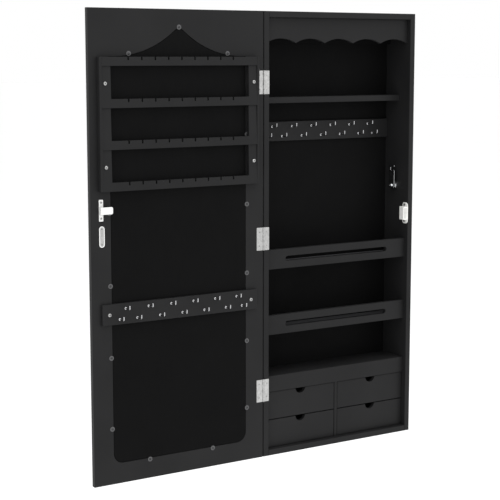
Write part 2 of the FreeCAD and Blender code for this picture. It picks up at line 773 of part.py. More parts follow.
def mirror_backing():
    return mirror_slab(MIRROR_CLEARANCE, BACKING_SINK, BACKING_SINK + BACKING)


def mirror_glass():
    return mirror_slab(MIRROR_CLEARANCE, BACKING_SINK + BACKING, MIRROR_REBATE)


def washer_places():
    """Centres of the washers round the mirror, just outside its rebate."""
    side = MIRROR_HALF + WASHER_OFFSET
    low = DOOR_BOTTOM_RAIL + WASHER_LOWEST
    step = (FLANK_LOW - WASHER_HIGHEST - low) / (WASHERS_PER_SIDE - 1)
    places = [(0, MIRROR_TIP + WASHER_OFFSET)]
    flank_rise = math.sqrt((ARCH_RADIUS - WASHER_OFFSET) ** 2 - (ARCH_OFFSET - FLANK_WASHER_X) ** 2)
    for hand in (-1, 1):
        places.append((hand * FLANK_WASHER_X, ARCH_CENTRE - flank_rise))
        places.append((hand * BOTTOM_WASHER_X, DOOR_BOTTOM_RAIL - WASHER_OFFSET))
        places += [(hand * side, low + i * step) for i in range(WASHERS_PER_SIDE)]
    return [Vector(DOOR_MIDDLE + x, 0, z) for x, z in places]


def mirror_washers():
    hole = SMALL_SCREW_DIAMETER / 2 + FIT
    rim = WASHER_DIAMETER / 2
    corners = [(hole, 0), (rim, 0), (rim, -WASHER / 2), (rim - WASHER / 2, -WASHER), (hole, -WASHER)]
    return [turned(corners, place, INWARD) for place in washer_places()]


def small_pan_screw(start, direction, length):
    return pan_screw(
        start, direction, length, SMALL_SCREW_DIAMETER, SMALL_HEAD_DIAMETER, SMALL_HEAD_HEIGHT
    )


def mirror_washer_screws():
    starts = [place - INWARD * WASHER for place in washer_places()]
    return [small_pan_screw(start, INWARD, WASHER_SCREW_LENGTH) for start in starts]


# Earring rack on the door

def rack_front(z, foot_z):
    """Distance of a leaning board's front from the door at height z."""
    return RACK_FOOT - (z - foot_z) * (RACK_FOOT - RACK_HEAD) / RACK_PITCH


def rack_screw_places(foot_z):
    """Places where the heads of one board's screws bear on it."""
    z = foot_z + RACK_SCREW_RISE
    y = -rack_front(z, foot_z) + SPOT_FACE
    return [Vector(DOOR_MIDDLE + hand * RACK_SCREW_X, y, z) for hand in (-1, 1)]


def rack_piece(foot_z, height, screwed):
    """Leaning board with a notched bar at its foot and, if it is taller, two stiles."""
    half = RACK_HALF - RACK_CHEEK
    top = foot_z + height
    head = rack_front(top, foot_z)
    side_view = [
        (-RACK_FOOT, foot_z),
        (-RACK_FOOT + RACK_BOARD, foot_z),
        (-head + RACK_BOARD, top),
        (-head, top),
    ]
    board = prism(side_view, "yz", DOOR_MIDDLE - half, DOOR_MIDDLE + half)
    bar_top = foot_z + RACK_BAR
    cuts = []
    if height > RACK_BAR:
        left = DOOR_MIDDLE - WINDOW_HALF
        right = DOOR_MIDDLE + WINDOW_HALF
        corners = [(left, bar_top, RACK_WINDOW_CORNER), (right, bar_top, RACK_WINDOW_CORNER)]
        corners += [(right, top + OVERCUT), (left, top + OVERCUT)]
        cuts.append(prism(corners, "xz", -RACK_FOOT - OVERCUT, 0))
    for i in range(RACK_NOTCHES):
        x = DOOR_MIDDLE + (i - (RACK_NOTCHES - 1) / 2) * RACK_NOTCH_PITCH
        radius = RACK_NOTCH_WIDTH / 2
        bottom = bar_top - RACK_NOTCH_DEPTH
        corners = [(x - radius, bottom, radius), (x + radius, bottom, radius)]
        corners += [(x + radius, bar_top + OVERCUT), (x - radius, bar_top + OVERCUT)]
        cuts.append(prism(corners, "xz", -RACK_FOOT - OVERCUT, 0))
    for seat in rack_screw_places(foot_z) if screwed else ():
        cuts.append(rod(seat, INWARD, RACK_FOOT, PAN_SCREW_DIAMETER + 2 * FIT))
        cuts.append(rod(seat, -INWARD, RACK_FOOT, PAN_HEAD_DIAMETER + 2 * PLAY))
    return board.cut(cuts)


def rack_cheeks():
    """Upright ends that carry the leaning boards."""
    cheeks = []
    for hand in (-1, 1):
        outer = DOOR_MIDDLE + hand * RACK_HALF
        inner = outer - hand * RACK_CHEEK
        corners = [(0, RACK_BOTTOM), (0, RACK_TOP), (-RACK_FOOT, RACK_TOP, EDGE_ROUND)]
        corners += [(-RACK_FOOT, RACK_BOTTOM, EDGE_ROUND)]
        cheeks.append(prism(corners, "yz", min(outer, inner), max(outer, inner)))
    return cheeks


# Hook bar on the door

def door_bar_screw_places():
    """Places where the heads of the bar's screws bear on it."""
    places = []
    for hand in (-1, 1):
        x = DOOR_MIDDLE + hand * DOOR_BAR_SCREW_X
        places.append(Vector(x, -DOOR_HOOK_BAR, DOOR_HOOK_BAR_HEIGHT))
    return places


def door_hook_bar():
    ends = (DOOR_MIDDLE - DOOR_HOOK_BAR_HALF, DOOR_MIDDLE + DOOR_HOOK_BAR_HALF)
    low = DOOR_HOOK_BAR_HEIGHT - HOOK_BAR_HEIGHT / 2
    bar = box(ends, (-DOOR_HOOK_BAR, 0), (low, low + HOOK_BAR_HEIGHT))
    bar = soften(bar, EDGE_ROUND, "y", -DOOR_HOOK_BAR)
    cuts = hook_holes(hook_places(DOOR_MIDDLE, DOOR_HOOK_BAR_HEIGHT), -DOOR_HOOK_BAR)
    for place in door_bar_screw_places():
        cuts.append(pilot(place, INWARD, DOOR_HOOK_BAR, PAN_SCREW_DIAMETER))
    return bar.cut(cuts)


def door_hooks():
    return [hook(x, -DOOR_HOOK_BAR, z) for x, z in hook_places(DOOR_MIDDLE, DOOR_HOOK_BAR_HEIGHT)]


def door_pan_screw_places():
    """Seat and length of each screw of the rack and the hook bar."""
    places = []
    for foot in SCREWED_FEET:
        places += [(seat, RACK_SCREW_LENGTH) for seat in rack_screw_places(foot)]
    places += [(seat, DOOR_BAR_SCREW_LENGTH) for seat in door_bar_screw_places()]
    return places


def door_pan_screws():
    """Screws that hold the rack and the hook bar to the door."""
    head = (PAN_SCREW_DIAMETER, PAN_HEAD_DIAMETER, PAN_HEAD_HEIGHT)
    return [pan_screw(seat, INWARD, length, *head) for seat, length in door_pan_screw_places()]


# Hinges

def knuckle_relief(height):
    """Hollow along the edges that clears a hinge's knuckles."""
    start = Vector(HINGE_X, HINGE_Y, height - HINGE_LENGTH / 2 - 2 * PIN_HEAD_HEIGHT)
    length = HINGE_LENGTH + 4 * PIN_HEAD_HEIGHT
    return rod(start, Vector(0, 0, 1), length, 2 * (KNUCKLE_RADIUS + PLAY))


def hinge_leaf(height, hand, far, owned):
    """Leaf on one side of the pin; hand 1 is the cabinet's, and owned lists its knuckles."""
    near = HINGE_X + hand * (KNUCKLE_RADIUS + PLAY)
    low = height - HINGE_LENGTH / 2
    high = height + HINGE_LENGTH / 2
    corners = [(near, low), (far, low, EDGE_ROUND), (far, high, EDGE_ROUND), (near, high)]
    pieces = [prism(corners, "xz", -HINGE_LEAF, 0)]
    section = HINGE_LENGTH / KNUCKLES
    for i in owned:
        bottom = low + i * section + PLAY / 2
        top = low + (i + 1) * section - PLAY / 2
        pieces.append(box((HINGE_X, near + hand * PLAY), (-HINGE_LEAF, 0), (bottom, top)))
        start = Vector(HINGE_X, HINGE_Y, bottom)
        pieces.append(rod(start, Vector(0, 0, 1), top - bottom, 2 * KNUCKLE_RADIUS))
    bore_start = Vector(HINGE_X, HINGE_Y, low - OVERCUT)
    bore_length = HINGE_LENGTH + 2 * OVERCUT
    bore = rod(bore_start, Vector(0, 0, 1), bore_length, HINGE_PIN_DIAMETER + 2 * FIT)
    return fused(pieces).cut(bore)


def hinge_screw_places(x):
    places = []
    for height in HINGE_HEIGHTS:
        for hand in (-1, 1):
            places.append(Vector(x, -HINGE_LEAF, height + hand * HINGE_SCREW_SPACING / 2))
    return places


def cabinet_hinge_screw_places():
    return hinge_screw_places(-(INNER + OUTER) / 2)


def door_hinge_screw_places():
    return hinge_screw_places(DOOR_RIGHT - DOOR_LEAF_SCREW)


def hinge_leaves(hand, far, owned, screw_places):
    leaves = []
    for i, height in enumerate(HINGE_HEIGHTS):
        holes = [
            flat_screw_hole(place, INWARD, HINGE_LEAF, SMALL_SCREW_DIAMETER, HINGE_HEAD_DIAMETER)
            for place in screw_places[2 * i:2 * i + 2]
        ]
        leaves.append(hinge_leaf(height, hand, far, owned).cut(holes))
    return leaves


def cabinet_hinge_leaves():
    far = -INNER - CABINET_LEAF_EDGE
    owned = range(0, KNUCKLES, 2)
    return hinge_leaves(1, far, owned, cabinet_hinge_screw_places())


def door_hinge_leaves():
    far = DOOR_RIGHT - DOOR_LEAF_WIDTH
    owned = range(1, KNUCKLES, 2)
    return hinge_leaves(-1, far, owned, door_hinge_screw_places())


def hinge_pins():
    """Pins with a small head at each end, clear of the end knuckles."""
    pins = []
    shank = HINGE_PIN_DIAMETER / 2
    head = PIN_HEAD_DIAMETER / 2
    gap = PLAY / 2
    for height in HINGE_HEIGHTS:
        length = HINGE_LENGTH + 2 * gap
        corners = [(0, -PIN_HEAD_HEIGHT), (shank, -PIN_HEAD_HEIGHT), (head, 0), (shank, 0), (shank, length)]
        corners += [(head, length), (shank, length + PIN_HEAD_HEIGHT), (0, length + PIN_HEAD_HEIGHT)]
        start = Vector(HINGE_X, HINGE_Y, height - length / 2)
        pins.append(turned(corners, start, Vector(0, 0, 1)))
    return pins


def hinge_screws(places):
    return [
        flat_screw(place, INWARD, HINGE_SCREW_LENGTH, SMALL_SCREW_DIAMETER, HINGE_HEAD_DIAMETER)
        for place in places
    ]


# Cam lock

def lock_point(x):
    return Vector(x, LOCK_SETBACK, LOCK_HEIGHT)


def lock_barrel():
    """Threaded barrel with a round flange outside, open along its middle for the plug."""
    bore = PLUG_DIAMETER / 2 + FIT
    body = BARREL_DIAMETER / 2
    flange = FLANGE_DIAMETER / 2
    length = FLANGE + BOARD + BARREL_REACH
    bevel = FLANGE / 2
    corners = [(bore, 0), (flange - bevel, 0), (flange, bevel), (flange, FLANGE), (body, FLANGE)]
    corners += [(body, length), (bore, length)]
    return turned(corners, lock_point(OUTER + FLANGE), TO_LEFT)


def lock_nut():
    corners = []
    radius = NUT_ACROSS_FLATS / math.sqrt(3)
    for i in range(6):
        angle = i * math.pi / 3
        y = LOCK_SETBACK + radius * math.cos(angle)
        z = LOCK_HEIGHT + radius * math.sin(angle)
        corners.append((y, z))
    nut = prism(corners, "yz", INNER - NUT, INNER)
    bore = lock_point(INNER - NUT - OVERCUT)
    return nut.cut(rod(bore, TO_RIGHT, NUT + 2 * OVERCUT, BARREL_DIAMETER + 2 * FIT))


def cam_square(clearance, low, high):
    half = CAM_SQUARE / 2 + clearance
    depths = (LOCK_SETBACK - half, LOCK_SETBACK + half)
    return box((low, high), depths, (LOCK_HEIGHT - half, LOCK_HEIGHT + half))


def lock_plug():
    """Turning plug with a keyway outside and a square boss that drives the cam."""
    face = OUTER + FLANGE - PLAY
    body = rod(lock_point(CAM_OUTER_X), TO_RIGHT, face - CAM_OUTER_X, PLUG_DIAMETER)
    plug = fused([body, cam_square(0, CAM_INNER_X + PLAY, CAM_OUTER_X)])
    keyway = box(
        (face - KEYWAY_DEPTH, face + OVERCUT),
        (LOCK_SETBACK - KEYWAY_WIDTH / 2, LOCK_SETBACK + KEYWAY_WIDTH / 2),
        (LOCK_HEIGHT - KEYWAY_HEIGHT / 2, LOCK_HEIGHT + KEYWAY_HEIGHT / 2),
    )
    thread = pilot(lock_point(CAM_INNER_X), TO_RIGHT, CAM_SCREW_LENGTH, SMALL_SCREW_DIAMETER)
    return plug.cut([keyway, thread])


def lock_cam():
    """Flat cam that stands upright when unlocked, with a slot open towards the door."""
    half = CAM_WIDTH / 2
    boss = rod(lock_point(CAM_INNER_X), TO_RIGHT, CAM, CAM_WIDTH)
    arm = box(
        (CAM_INNER_X, CAM_OUTER_X),
        (LOCK_SETBACK - half, LOCK_SETBACK + half),
        (LOCK_HEIGHT, LOCK_HEIGHT + CAM_REACH),
    )
    reach = rod(lock_point(CAM_INNER_X), TO_RIGHT, CAM, 2 * CAM_REACH)
    slot_low = LOCK_HEIGHT + CAM_SLOT_RADIUS - CAM_SLOT / 2
    slot_high = slot_low + CAM_SLOT
    mouth = LOCK_SETBACK - half - OVERCUT
    slot_end = LOCK_SETBACK - half + CAM_SLOT_DEPTH
    end_round = CAM_SLOT / 2
    corners = [(mouth, slot_low), (slot_end, slot_low, end_round), (slot_end, slot_high, end_round)]
    corners += [(mouth, slot_high)]
    low, high = CAM_INNER_X - OVERCUT, CAM_OUTER_X + OVERCUT
    slot = prism(corners, "yz", low, high)
    return fused([boss, arm]).common(reach).cut([slot, cam_square(FIT, low, high)])


def lock_cam_screw():
    head = (SMALL_SCREW_DIAMETER, CAM_HEAD_DIAMETER, CAM_HEAD_HEIGHT)
    return pan_screw(lock_point(CAM_INNER_X), TO_RIGHT, CAM_SCREW_LENGTH, *head)


# Latch bracket

def bracket_screw_places():
    x = DOOR_LEFT + BRACKET_EDGE + BRACKET_WIDTH / 2
    z = LOCK_HEIGHT - BRACKET_DROP
    return [Vector(x, -BRACKET_PLATE, z + hand * BRACKET_SCREW_SPACING / 2) for hand in (-1, 1)]


def latch_bracket():
    """Plate on the door whose bent tongue reaches into the slot of the closed cam."""
    left = DOOR_LEFT + BRACKET_EDGE
    right = left + BRACKET_WIDTH
    middle = LOCK_HEIGHT - BRACKET_DROP
    half = BRACKET_PLATE_HEIGHT / 2
    plate_corners = [
        (left, middle - half, EDGE_ROUND),
        (right, middle - half, EDGE_ROUND),
        (right, middle + half, EDGE_ROUND),
        (left, middle + half, EDGE_ROUND),
    ]
    plate = prism(plate_corners, "xz", -BRACKET_PLATE, 0)
    tongue_y = -DOOR_GAP - (LOCK_SETBACK - CAM_SLOT_RADIUS)
    near = tongue_y + BRACKET_PLATE / 2
    far = tongue_y - BRACKET_PLATE / 2
    inside = left + BRACKET_PLATE
    tip = left + TONGUE_LENGTH
    outer_bend = BRACKET_BEND + BRACKET_PLATE
    strip = [
        (right, 0),
        (left, 0),
        (left, far, outer_bend),
        (tip, far),
        (tip, near),
        (inside, near, BRACKET_BEND),
        (inside, -BRACKET_PLATE, BRACKET_BEND),
        (right, -BRACKET_PLATE),
    ]
    tongue = prism(strip, "xy", middle - TONGUE_HEIGHT / 2, middle + TONGUE_HEIGHT / 2)
    corners = []
    for edge in edges_at(tongue, "x", tip):
        if edge.Length < 2 * BRACKET_PLATE:
            corners.append(edge)
    tongue = tongue.makeFillet(TONGUE_CORNER, corners)
    holes = [
        flat_screw_hole(place, INWARD, BRACKET_PLATE, SMALL_SCREW_DIAMETER, SMALL_HEAD_DIAMETER)
        for place in bracket_screw_places()
    ]
    return fused([plate, tongue]).cut(holes)


# Magnetic catch

def catch_screw_places():
    return [
        Vector(INNER - EAR, CATCH_SCREW_SETBACK, CATCH_MIDDLE + hand * CATCH_SCREW_SPACING / 2)
        for hand in (-1, 1)
    ]


def catch_pocket(clearance):
    """Hollow for the magnet between its two pole plates, open at the front."""
    half = MAGNET / 2 + POLE + 2 * FIT
    middle = INNER - MAGNET_OFFSET
    tall = MAGNET_HEIGHT / 2 + clearance
    back = POLE_LENGTH - POLE_PROUD + clearance
    heights = (CATCH_MIDDLE - tall, CATCH_MIDDLE + tall)
    return box((middle - half, middle + half), (-CATCH_PROUD - OVERCUT, back), heights)


def catch_body():
    """Moulded housing with an ear above and below for its screws."""
    half = CATCH_HEIGHT / 2
    housing = box(
        (INNER - CATCH_THICKNESS, INNER),
        (-CATCH_PROUD, CATCH_LENGTH - CATCH_PROUD),
        (CATCH_MIDDLE - half, CATCH_MIDDLE + half),
    )
    housing = soften(housing, CATCH_ROUND, "x", INNER - CATCH_THICKNESS)
    ear = EAR_HEIGHT / 2
    ear_corners = [
        (0, CATCH_MIDDLE - ear, EAR_CORNER),
        (EAR_LENGTH, CATCH_MIDDLE - ear, EAR_CORNER),
        (EAR_LENGTH, CATCH_MIDDLE + ear, EAR_CORNER),
        (0, CATCH_MIDDLE + ear, EAR_CORNER),
    ]
    ears = prism(ear_corners, "yz", INNER - EAR, INNER)
    cuts = [catch_pocket(FIT)]
    for start in catch_screw_places():
        above = start - TO_RIGHT * OVERCUT
        cuts.append(pilot(above, TO_RIGHT, EAR + OVERCUT, SMALL_SCREW_DIAMETER))
    return fused([housing, ears]).cut(cuts)


def catch_magnet():
    """Magnet with a steel pole plate on each face."""
    middle = INNER - MAGNET_OFFSET
    back = POLE_LENGTH - POLE_PROUD
    zs = (CATCH_MIDDLE - MAGNET_HEIGHT / 2, CATCH_MIDDLE + MAGNET_HEIGHT / 2)
    pieces = [box((middle - MAGNET / 2, middle + MAGNET / 2), (0, back), zs)]
    for hand in (-1, 1):
        near = middle + hand * (MAGNET / 2 + FIT)
        pieces.append(box((near, near + hand * POLE), (-POLE_PROUD, back), zs))
    return pieces


def catch_screws():
    return [small_pan_screw(start, TO_RIGHT, FITTING_SCREW_LENGTH) for start in catch_screw_places()]


def strike_screw_places():
    x = DOOR_LEFT + STRIKE_EDGE
    return [Vector(x, -STRIKE, CATCH_MIDDLE + hand * STRIKE_SCREW_SPACING / 2) for hand in (-1, 1)]


def upright_slot(middle_x, middle_z, width, height):
    """Outline of an upright oval with round ends."""
    radius = width / 2
    x0, x1 = middle_x - radius, middle_x + radius
    z0, z1 = middle_z - height / 2, middle_z + height / 2
    return [(x0, z0, radius), (x1, z0, radius), (x1, z1, radius), (x0, z1, radius)]


def catch_plate():
    """Oval strike plate with a shallow dish inside its rim."""
    x = DOOR_LEFT + STRIKE_EDGE
    plate = prism(upright_slot(x, CATCH_MIDDLE, STRIKE_WIDTH, STRIKE_HEIGHT), "xz", -STRIKE, 0)
    rim = 2 * STRIKE_RIM
    dish_outline = upright_slot(x, CATCH_MIDDLE, STRIKE_WIDTH - rim, STRIKE_HEIGHT - rim)
    cuts = [prism(dish_outline, "xz", -STRIKE - OVERCUT, -STRIKE + STRIKE_DISH)]
    for place in strike_screw_places():
        seat = place + INWARD * STRIKE_DISH
        head = SMALL_SCREW_DIAMETER + 2 * (STRIKE - STRIKE_DISH)
        cuts.append(flat_screw_hole(seat, INWARD, STRIKE, SMALL_SCREW_DIAMETER, head))
    return plate.cut(cuts)


def door_fitting_screws():
    """Flush screws of the latch bracket and the strike plate."""
    screws = [
        flat_screw(place, INWARD, FITTING_SCREW_LENGTH, SMALL_SCREW_DIAMETER, SMALL_HEAD_DIAMETER)
        for place in bracket_screw_places()
    ]
    head = SMALL_SCREW_DIAMETER + 2 * (STRIKE - STRIKE_DISH)
    for place in strike_screw_places():
        seat = place + INWARD * STRIKE_DISH
        screws.append(flat_screw(seat, INWARD, FITTING_SCREW_LENGTH, SMALL_SCREW_DIAMETER, head))
    return screws


def door_screw_places():
    """Every screw that enters the door board: start, length and shank diameter."""
    places = []
    for place in washer_places():
        places.append((place - INWARD * WASHER, WASHER_SCREW_LENGTH, SMALL_SCREW_DIAMETER))
    for seat, length in door_pan_screw_places():
        places.append((seat, length, PAN_SCREW_DIAMETER))
    for place in door_hinge_screw_places():
        places.append((place, HINGE_SCREW_LENGTH, SMALL_SCREW_DIAMETER))
    for place in bracket_screw_places():
        places.append((place, FITTING_SCREW_LENGTH, SMALL_SCREW_DIAMETER))
    for place in strike_screw_places():
        places.append((place, FITTING_SCREW_LENGTH, SMALL_SCREW_DIAMETER))
    return places


# Assembly

def cabinet_pieces():
    return {
        "left_side": left_side(),
        "right_side": right_side(),
        "top_panel": end_panel(CEILING, CEILING),
        "bottom_panel": end_panel(0, BOARD - BACK_LAP),
        "carcass_dowels": dowels(0),
        "back_panel": back_panel(),
        "hanging_rail": hanging_rail(),
        "scalloped_valance": scalloped_valance(),
        "upper_shelf": upper_shelf(),
        "inner_hook_bar": inner_hook_bar(),
        "inner_hooks": inner_hooks(),
        "upper_tray_rail": tray_rail(UPPER_TRAY_BOTTOM),
        "upper_tray_floor": tray_floor(UPPER_TRAY_BOTTOM),
        "lower_tray_rail": tray_rail(LOWER_TRAY_BOTTOM),
        "lower_tray_floor": tray_floor(LOWER_TRAY_BOTTOM),
        "drawer_cover_shelf": drawer_cover_shelf(),
        "drawer_fascia": drawer_fascia(),
        "drawer_divider": drawer_divider(),
        "drawer_decks": drawer_decks(),
        "cabinet_hinge_leaves": cabinet_hinge_leaves(),
        "cabinet_hinge_screws": hinge_screws(cabinet_hinge_screw_places()),
        "catch_body": catch_body(),
        "catch_magnet": catch_magnet(),
        "catch_screws": catch_screws(),
        "lock_barrel": lock_barrel(),
        "lock_nut": lock_nut(),
    }


def door_pieces():
    return {
        "door_frame": door_frame(),
        "mirror_glass": mirror_glass(),
        "mirror_backing": mirror_backing(),
        "mirror_washers": mirror_washers(),
        "mirror_washer_screws": mirror_washer_screws(),
        "rack_cheeks": rack_cheeks(),
        "rack_top_bar": rack_piece(RACK_FEET[0], RACK_BAR, False),
        "rack_board_upper": rack_piece(RACK_FEET[1], RACK_PITCH, True),
        "rack_board_middle": rack_piece(RACK_FEET[2], RACK_PITCH, False),
        "rack_board_lower": rack_piece(RACK_FEET[3], RACK_PITCH, True),
        "door_pan_screws": door_pan_screws(),
        "door_hook_bar": door_hook_bar(),
        "door_hooks": door_hooks(),
        "door_hinge_leaves": door_hinge_leaves(),
        "hinge_pins": hinge_pins(),
        "door_hinge_screws": hinge_screws(door_hinge_screw_places()),
        "latch_bracket": latch_bracket(),
        "catch_plate": catch_plate(),
        "door_fitting_screws": door_fitting_screws(),
    }


def lock_pieces():
    return {
        "lock_plug": lock_plug(),
        "lock_cam": lock_cam(),
        "lock_cam_screw": lock_cam_screw(),
    }


def drawer_pieces():
    pieces = {}
    for row, row_name in enumerate(("lower", "upper")):
        for hand, hand_name in ((-1, "left"), (1, "right")):
            name = f"drawer_{row_name}_{hand_name}"
            pieces[name + "_front"] = drawer_front(hand, row)
            pieces[name + "_sides"] = drawer_sides(hand, row)
            pieces[name + "_floor"] = drawer_floor(hand, row)
    return pieces


def export(name, piece):
    """Write one sub-part, moved so that the origin is on the wall."""
    shape = Part.makeCompound(piece) if isinstance(piece, list) else piece.copy()
    shape.translate(Vector(0, -CABINET_DEPTH, -CABINET_HEIGHT / 2))
    shape.exportStep(os.path.join("parts", name + ".step"))
    print(f"{name}: {len(shape.Solids)} solid(s), {shape.Volume / 1000:.2f} cm3, valid {shape.isValid()}")


os.makedirs("parts", exist_ok=True)
for group in (cabinet_pieces(), door_pieces(), lock_pieces(), drawer_pieces()):
    for piece_name, piece_shape in group.items():
        export(piece_name, piece_shape)
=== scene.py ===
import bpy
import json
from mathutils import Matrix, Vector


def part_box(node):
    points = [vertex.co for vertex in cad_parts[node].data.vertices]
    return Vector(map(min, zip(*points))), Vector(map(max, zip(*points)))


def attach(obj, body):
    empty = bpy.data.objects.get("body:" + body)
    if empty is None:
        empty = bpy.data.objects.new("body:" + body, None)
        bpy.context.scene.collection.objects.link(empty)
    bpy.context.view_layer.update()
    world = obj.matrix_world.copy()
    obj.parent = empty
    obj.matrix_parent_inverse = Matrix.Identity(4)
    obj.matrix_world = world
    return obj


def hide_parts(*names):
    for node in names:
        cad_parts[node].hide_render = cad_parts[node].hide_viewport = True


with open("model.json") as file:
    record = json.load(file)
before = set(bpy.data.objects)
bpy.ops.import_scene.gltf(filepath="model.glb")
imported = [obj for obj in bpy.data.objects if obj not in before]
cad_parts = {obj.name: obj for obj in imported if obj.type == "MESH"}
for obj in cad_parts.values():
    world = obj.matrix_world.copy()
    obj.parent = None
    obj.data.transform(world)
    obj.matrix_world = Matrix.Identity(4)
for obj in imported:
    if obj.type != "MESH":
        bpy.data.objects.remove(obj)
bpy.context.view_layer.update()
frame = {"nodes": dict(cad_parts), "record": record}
print("nodes:", len(frame["nodes"]))

# %% [markdown]
# # A jewelry cabinet with a mirror door
#
# The cabinet hangs on a wall. Its door carries a mirror outside and an earring rack and a row of hooks
# inside; the cabinet holds shelves, more hooks, two trays and four drawers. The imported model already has
# every board and fitting at its real size, so this lesson does three things: it gives each piece its
# finish, it makes again the small pieces whose edges and recesses catch the light, and it sets up the
# light and the camera.

# %% Tools used by every later cell
import json
import math

import bmesh
import bpy
from mathutils import Matrix, Vector

MM = 0.001
DEPTH = 84.0
HALF_HEIGHT = 450.0
WELD = 1e-6


def at(x, d, h):
    """Point in metres from millimetres: across, depth behind the front edges, height above the bottom."""
    return Vector((x * MM, (d - DEPTH) * MM, (h - HALF_HEIGHT) * MM))


print("front lower middle of the cabinet:", at(0, 0, 0))

# %% [markdown]
# ## Camera
#
# The cabinet is seen from its left, from above its middle, with a long lens. Looking down tilts the upright
# edges towards each other, so part of the tilt is swapped for lens shift, which keeps them nearly parallel.
# The shift stays small, because a large one would push other views off their centre.

# %% Camera
LENS, SENSOR_WIDTH, SHIFT = 94.64, 36.0, -0.04
YAW, PITCH = math.radians(31.397), math.radians(7.552)
STANDPOINT = at(-1567.8, -2208.1, 812.9)


def new_camera():
    data = bpy.data.cameras.new("camera")
    data.lens = LENS
    data.sensor_width = SENSOR_WIDTH
    data.shift_y = SHIFT
    camera = bpy.data.objects.new("camera", data)
    bpy.context.scene.collection.objects.link(camera)
    forward = Vector((math.sin(YAW) * math.cos(PITCH), math.cos(YAW) * math.cos(PITCH), -math.sin(PITCH)))
    camera.location = STANDPOINT
    camera.rotation_mode = "QUATERNION"
    camera.rotation_quaternion = forward.to_track_quat("-Z", "Y")
    return camera


bpy.context.scene.camera = new_camera()
print("lens:", bpy.context.scene.camera.data.lens, "mm")

# %% [markdown]
# ## Finishes
#
# A finish is more than a colour. Paint on board has a faint orange-peel skin and patches that shine a bit
# more than others. Each of these is a noise pattern with its own scale. The patterns use object
# coordinates, which are metres here, so a scale of 700 makes grains of about one and a half millimetres on
# every piece, large or small.

# %% Helpers for finishes
def new_finish(name, colour, roughness, metallic=0.0, specular=0.5):
    """Material with plain values on its main shader; patterns are added to it afterwards."""
    material = bpy.data.materials.new(name)
    material.use_nodes = True
    shader = material.node_tree.nodes["Principled BSDF"]
    shader.inputs["Base Color"].default_value = (*colour, 1)
    shader.inputs["Roughness"].default_value = roughness
    shader.inputs["Metallic"].default_value = metallic
    shader.inputs["Specular IOR Level"].default_value = specular
    return material


def add(material, kind, **inputs):
    """New node with values or links for its inputs, named as in the node editor."""
    tree = material.node_tree
    node = tree.nodes.new(kind)
    for label, value in inputs.items():
        socket = node.inputs[label.replace("_", " ")]
        if isinstance(value, bpy.types.NodeSocket):
            tree.links.new(value, socket)
        else:
            socket.default_value = value
    return node


def pattern(material, scale, detail=3.0, stretch=(1, 1, 1)):
    """Noise in metres, stretched along an axis by a small number there."""
    place = add(material, "ShaderNodeTexCoord").outputs["Object"]
    spread = add(material, "ShaderNodeMapping", Vector=place, Scale=stretch).outputs["Vector"]
    noise = add(material, "ShaderNodeTexNoise", Vector=spread, Scale=scale, Detail=detail)
    return noise.outputs["Fac"]


def connect(material, output, label):
    shader = material.node_tree.nodes["Principled BSDF"]
    material.node_tree.links.new(output, shader.inputs[label])


def vary(material, label, factor, *stops):
    """Run an input of the shader from one value to another over a pattern: two stops of (place, value)."""
    node = add(material, "ShaderNodeValToRGB", Fac=factor)
    for element, (place, value) in zip(node.color_ramp.elements, stops, strict=True):
        element.position = place
        element.color = (*value, 1) if isinstance(value, tuple) else (value, value, value, 1)
    connect(material, node.outputs["Color"], label)


def skin(material, heights, millimetres):
    """Fine relief: heights is a list of (pattern, weight)."""
    total = None
    for height, weight in heights:
        part = add(material, "ShaderNodeMath")
        part.operation = "MULTIPLY"
        material.node_tree.links.new(height, part.inputs[0])
        part.inputs[1].default_value = weight
        if total is None:
            total = part.outputs[0]
            continue
        both = add(material, "ShaderNodeMath")
        both.operation = "ADD"
        material.node_tree.links.new(total, both.inputs[0])
        material.node_tree.links.new(part.outputs[0], both.inputs[1])
        total = both.outputs[0]
    bump = add(material, "ShaderNodeBump", Height=total, Distance=millimetres * MM, Strength=1.0)
    connect(material, bump.outputs["Normal"], "Normal")


print("finish helpers ready")

# %% [markdown]
# ### Black paint
#
# Sprayed satin black on fibre board. The colour drifts a little over a board, the sheen drifts more, and
# the skin is orange peel: soft bumps two to three millimetres apart over broader, flatter waves.

# %% Black paint
black_paint = new_finish("black_paint", (0.0165, 0.0165, 0.017), 0.45, specular=0.10)
drift = pattern(black_paint, 9, 4)
grain = pattern(black_paint, 420, 2)
vary(black_paint, "Base Color", drift, (0.3, (0.0138, 0.0138, 0.0142)), (0.7, (0.0174, 0.0174, 0.0178)))
vary(black_paint, "Roughness", drift, (0.3, 0.40), (0.7, 0.52))
skin(black_paint, [(grain, 1.0), (pattern(black_paint, 60, 2), 2.0)], 0.03)
print("nodes in the paint:", len(black_paint.node_tree.nodes))

# %% [markdown]
# ### Faced board
#
# The back panel and the board behind the mirror are thin hardboard with a printed black face. It is
# flatter and duller than the paint, with short fibres that run up the board.

# %% Faced board
black_board = new_finish("black_board", (0.005, 0.005, 0.0052), 0.6, specular=0.04)
fibres = pattern(black_board, 260, 4, (1, 1, 0.18))
vary(black_board, "Base Color", fibres,
     (0.3, (0.0040, 0.0040, 0.0041)), (0.75, (0.0048, 0.0048, 0.0049)))
vary(black_board, "Roughness", pattern(black_board, 14, 3), (0.3, 0.55), (0.7, 0.68))
skin(black_board, [(fibres, 1.0)], 0.006)
print("fibres run upright")

# %% [markdown]
# ### Mirror
#
# Silvered float glass: a metal with a cool tint and almost no roughness. A wipe always leaves a faint
# haze, so the roughness is not the same everywhere.

# %% Mirror
mirror = new_finish("mirror", (0.86, 0.88, 0.89), 0.02, metallic=1.0)
haze = pattern(mirror, 5, 4, (1, 1, 0.4))
vary(mirror, "Roughness", haze, (0.45, 0.012), (0.8, 0.05))
vary(mirror, "Base Color", haze, (0.3, (0.85, 0.87, 0.88)), (0.8, (0.88, 0.90, 0.91)))
print("mirror haze up to 0.05")

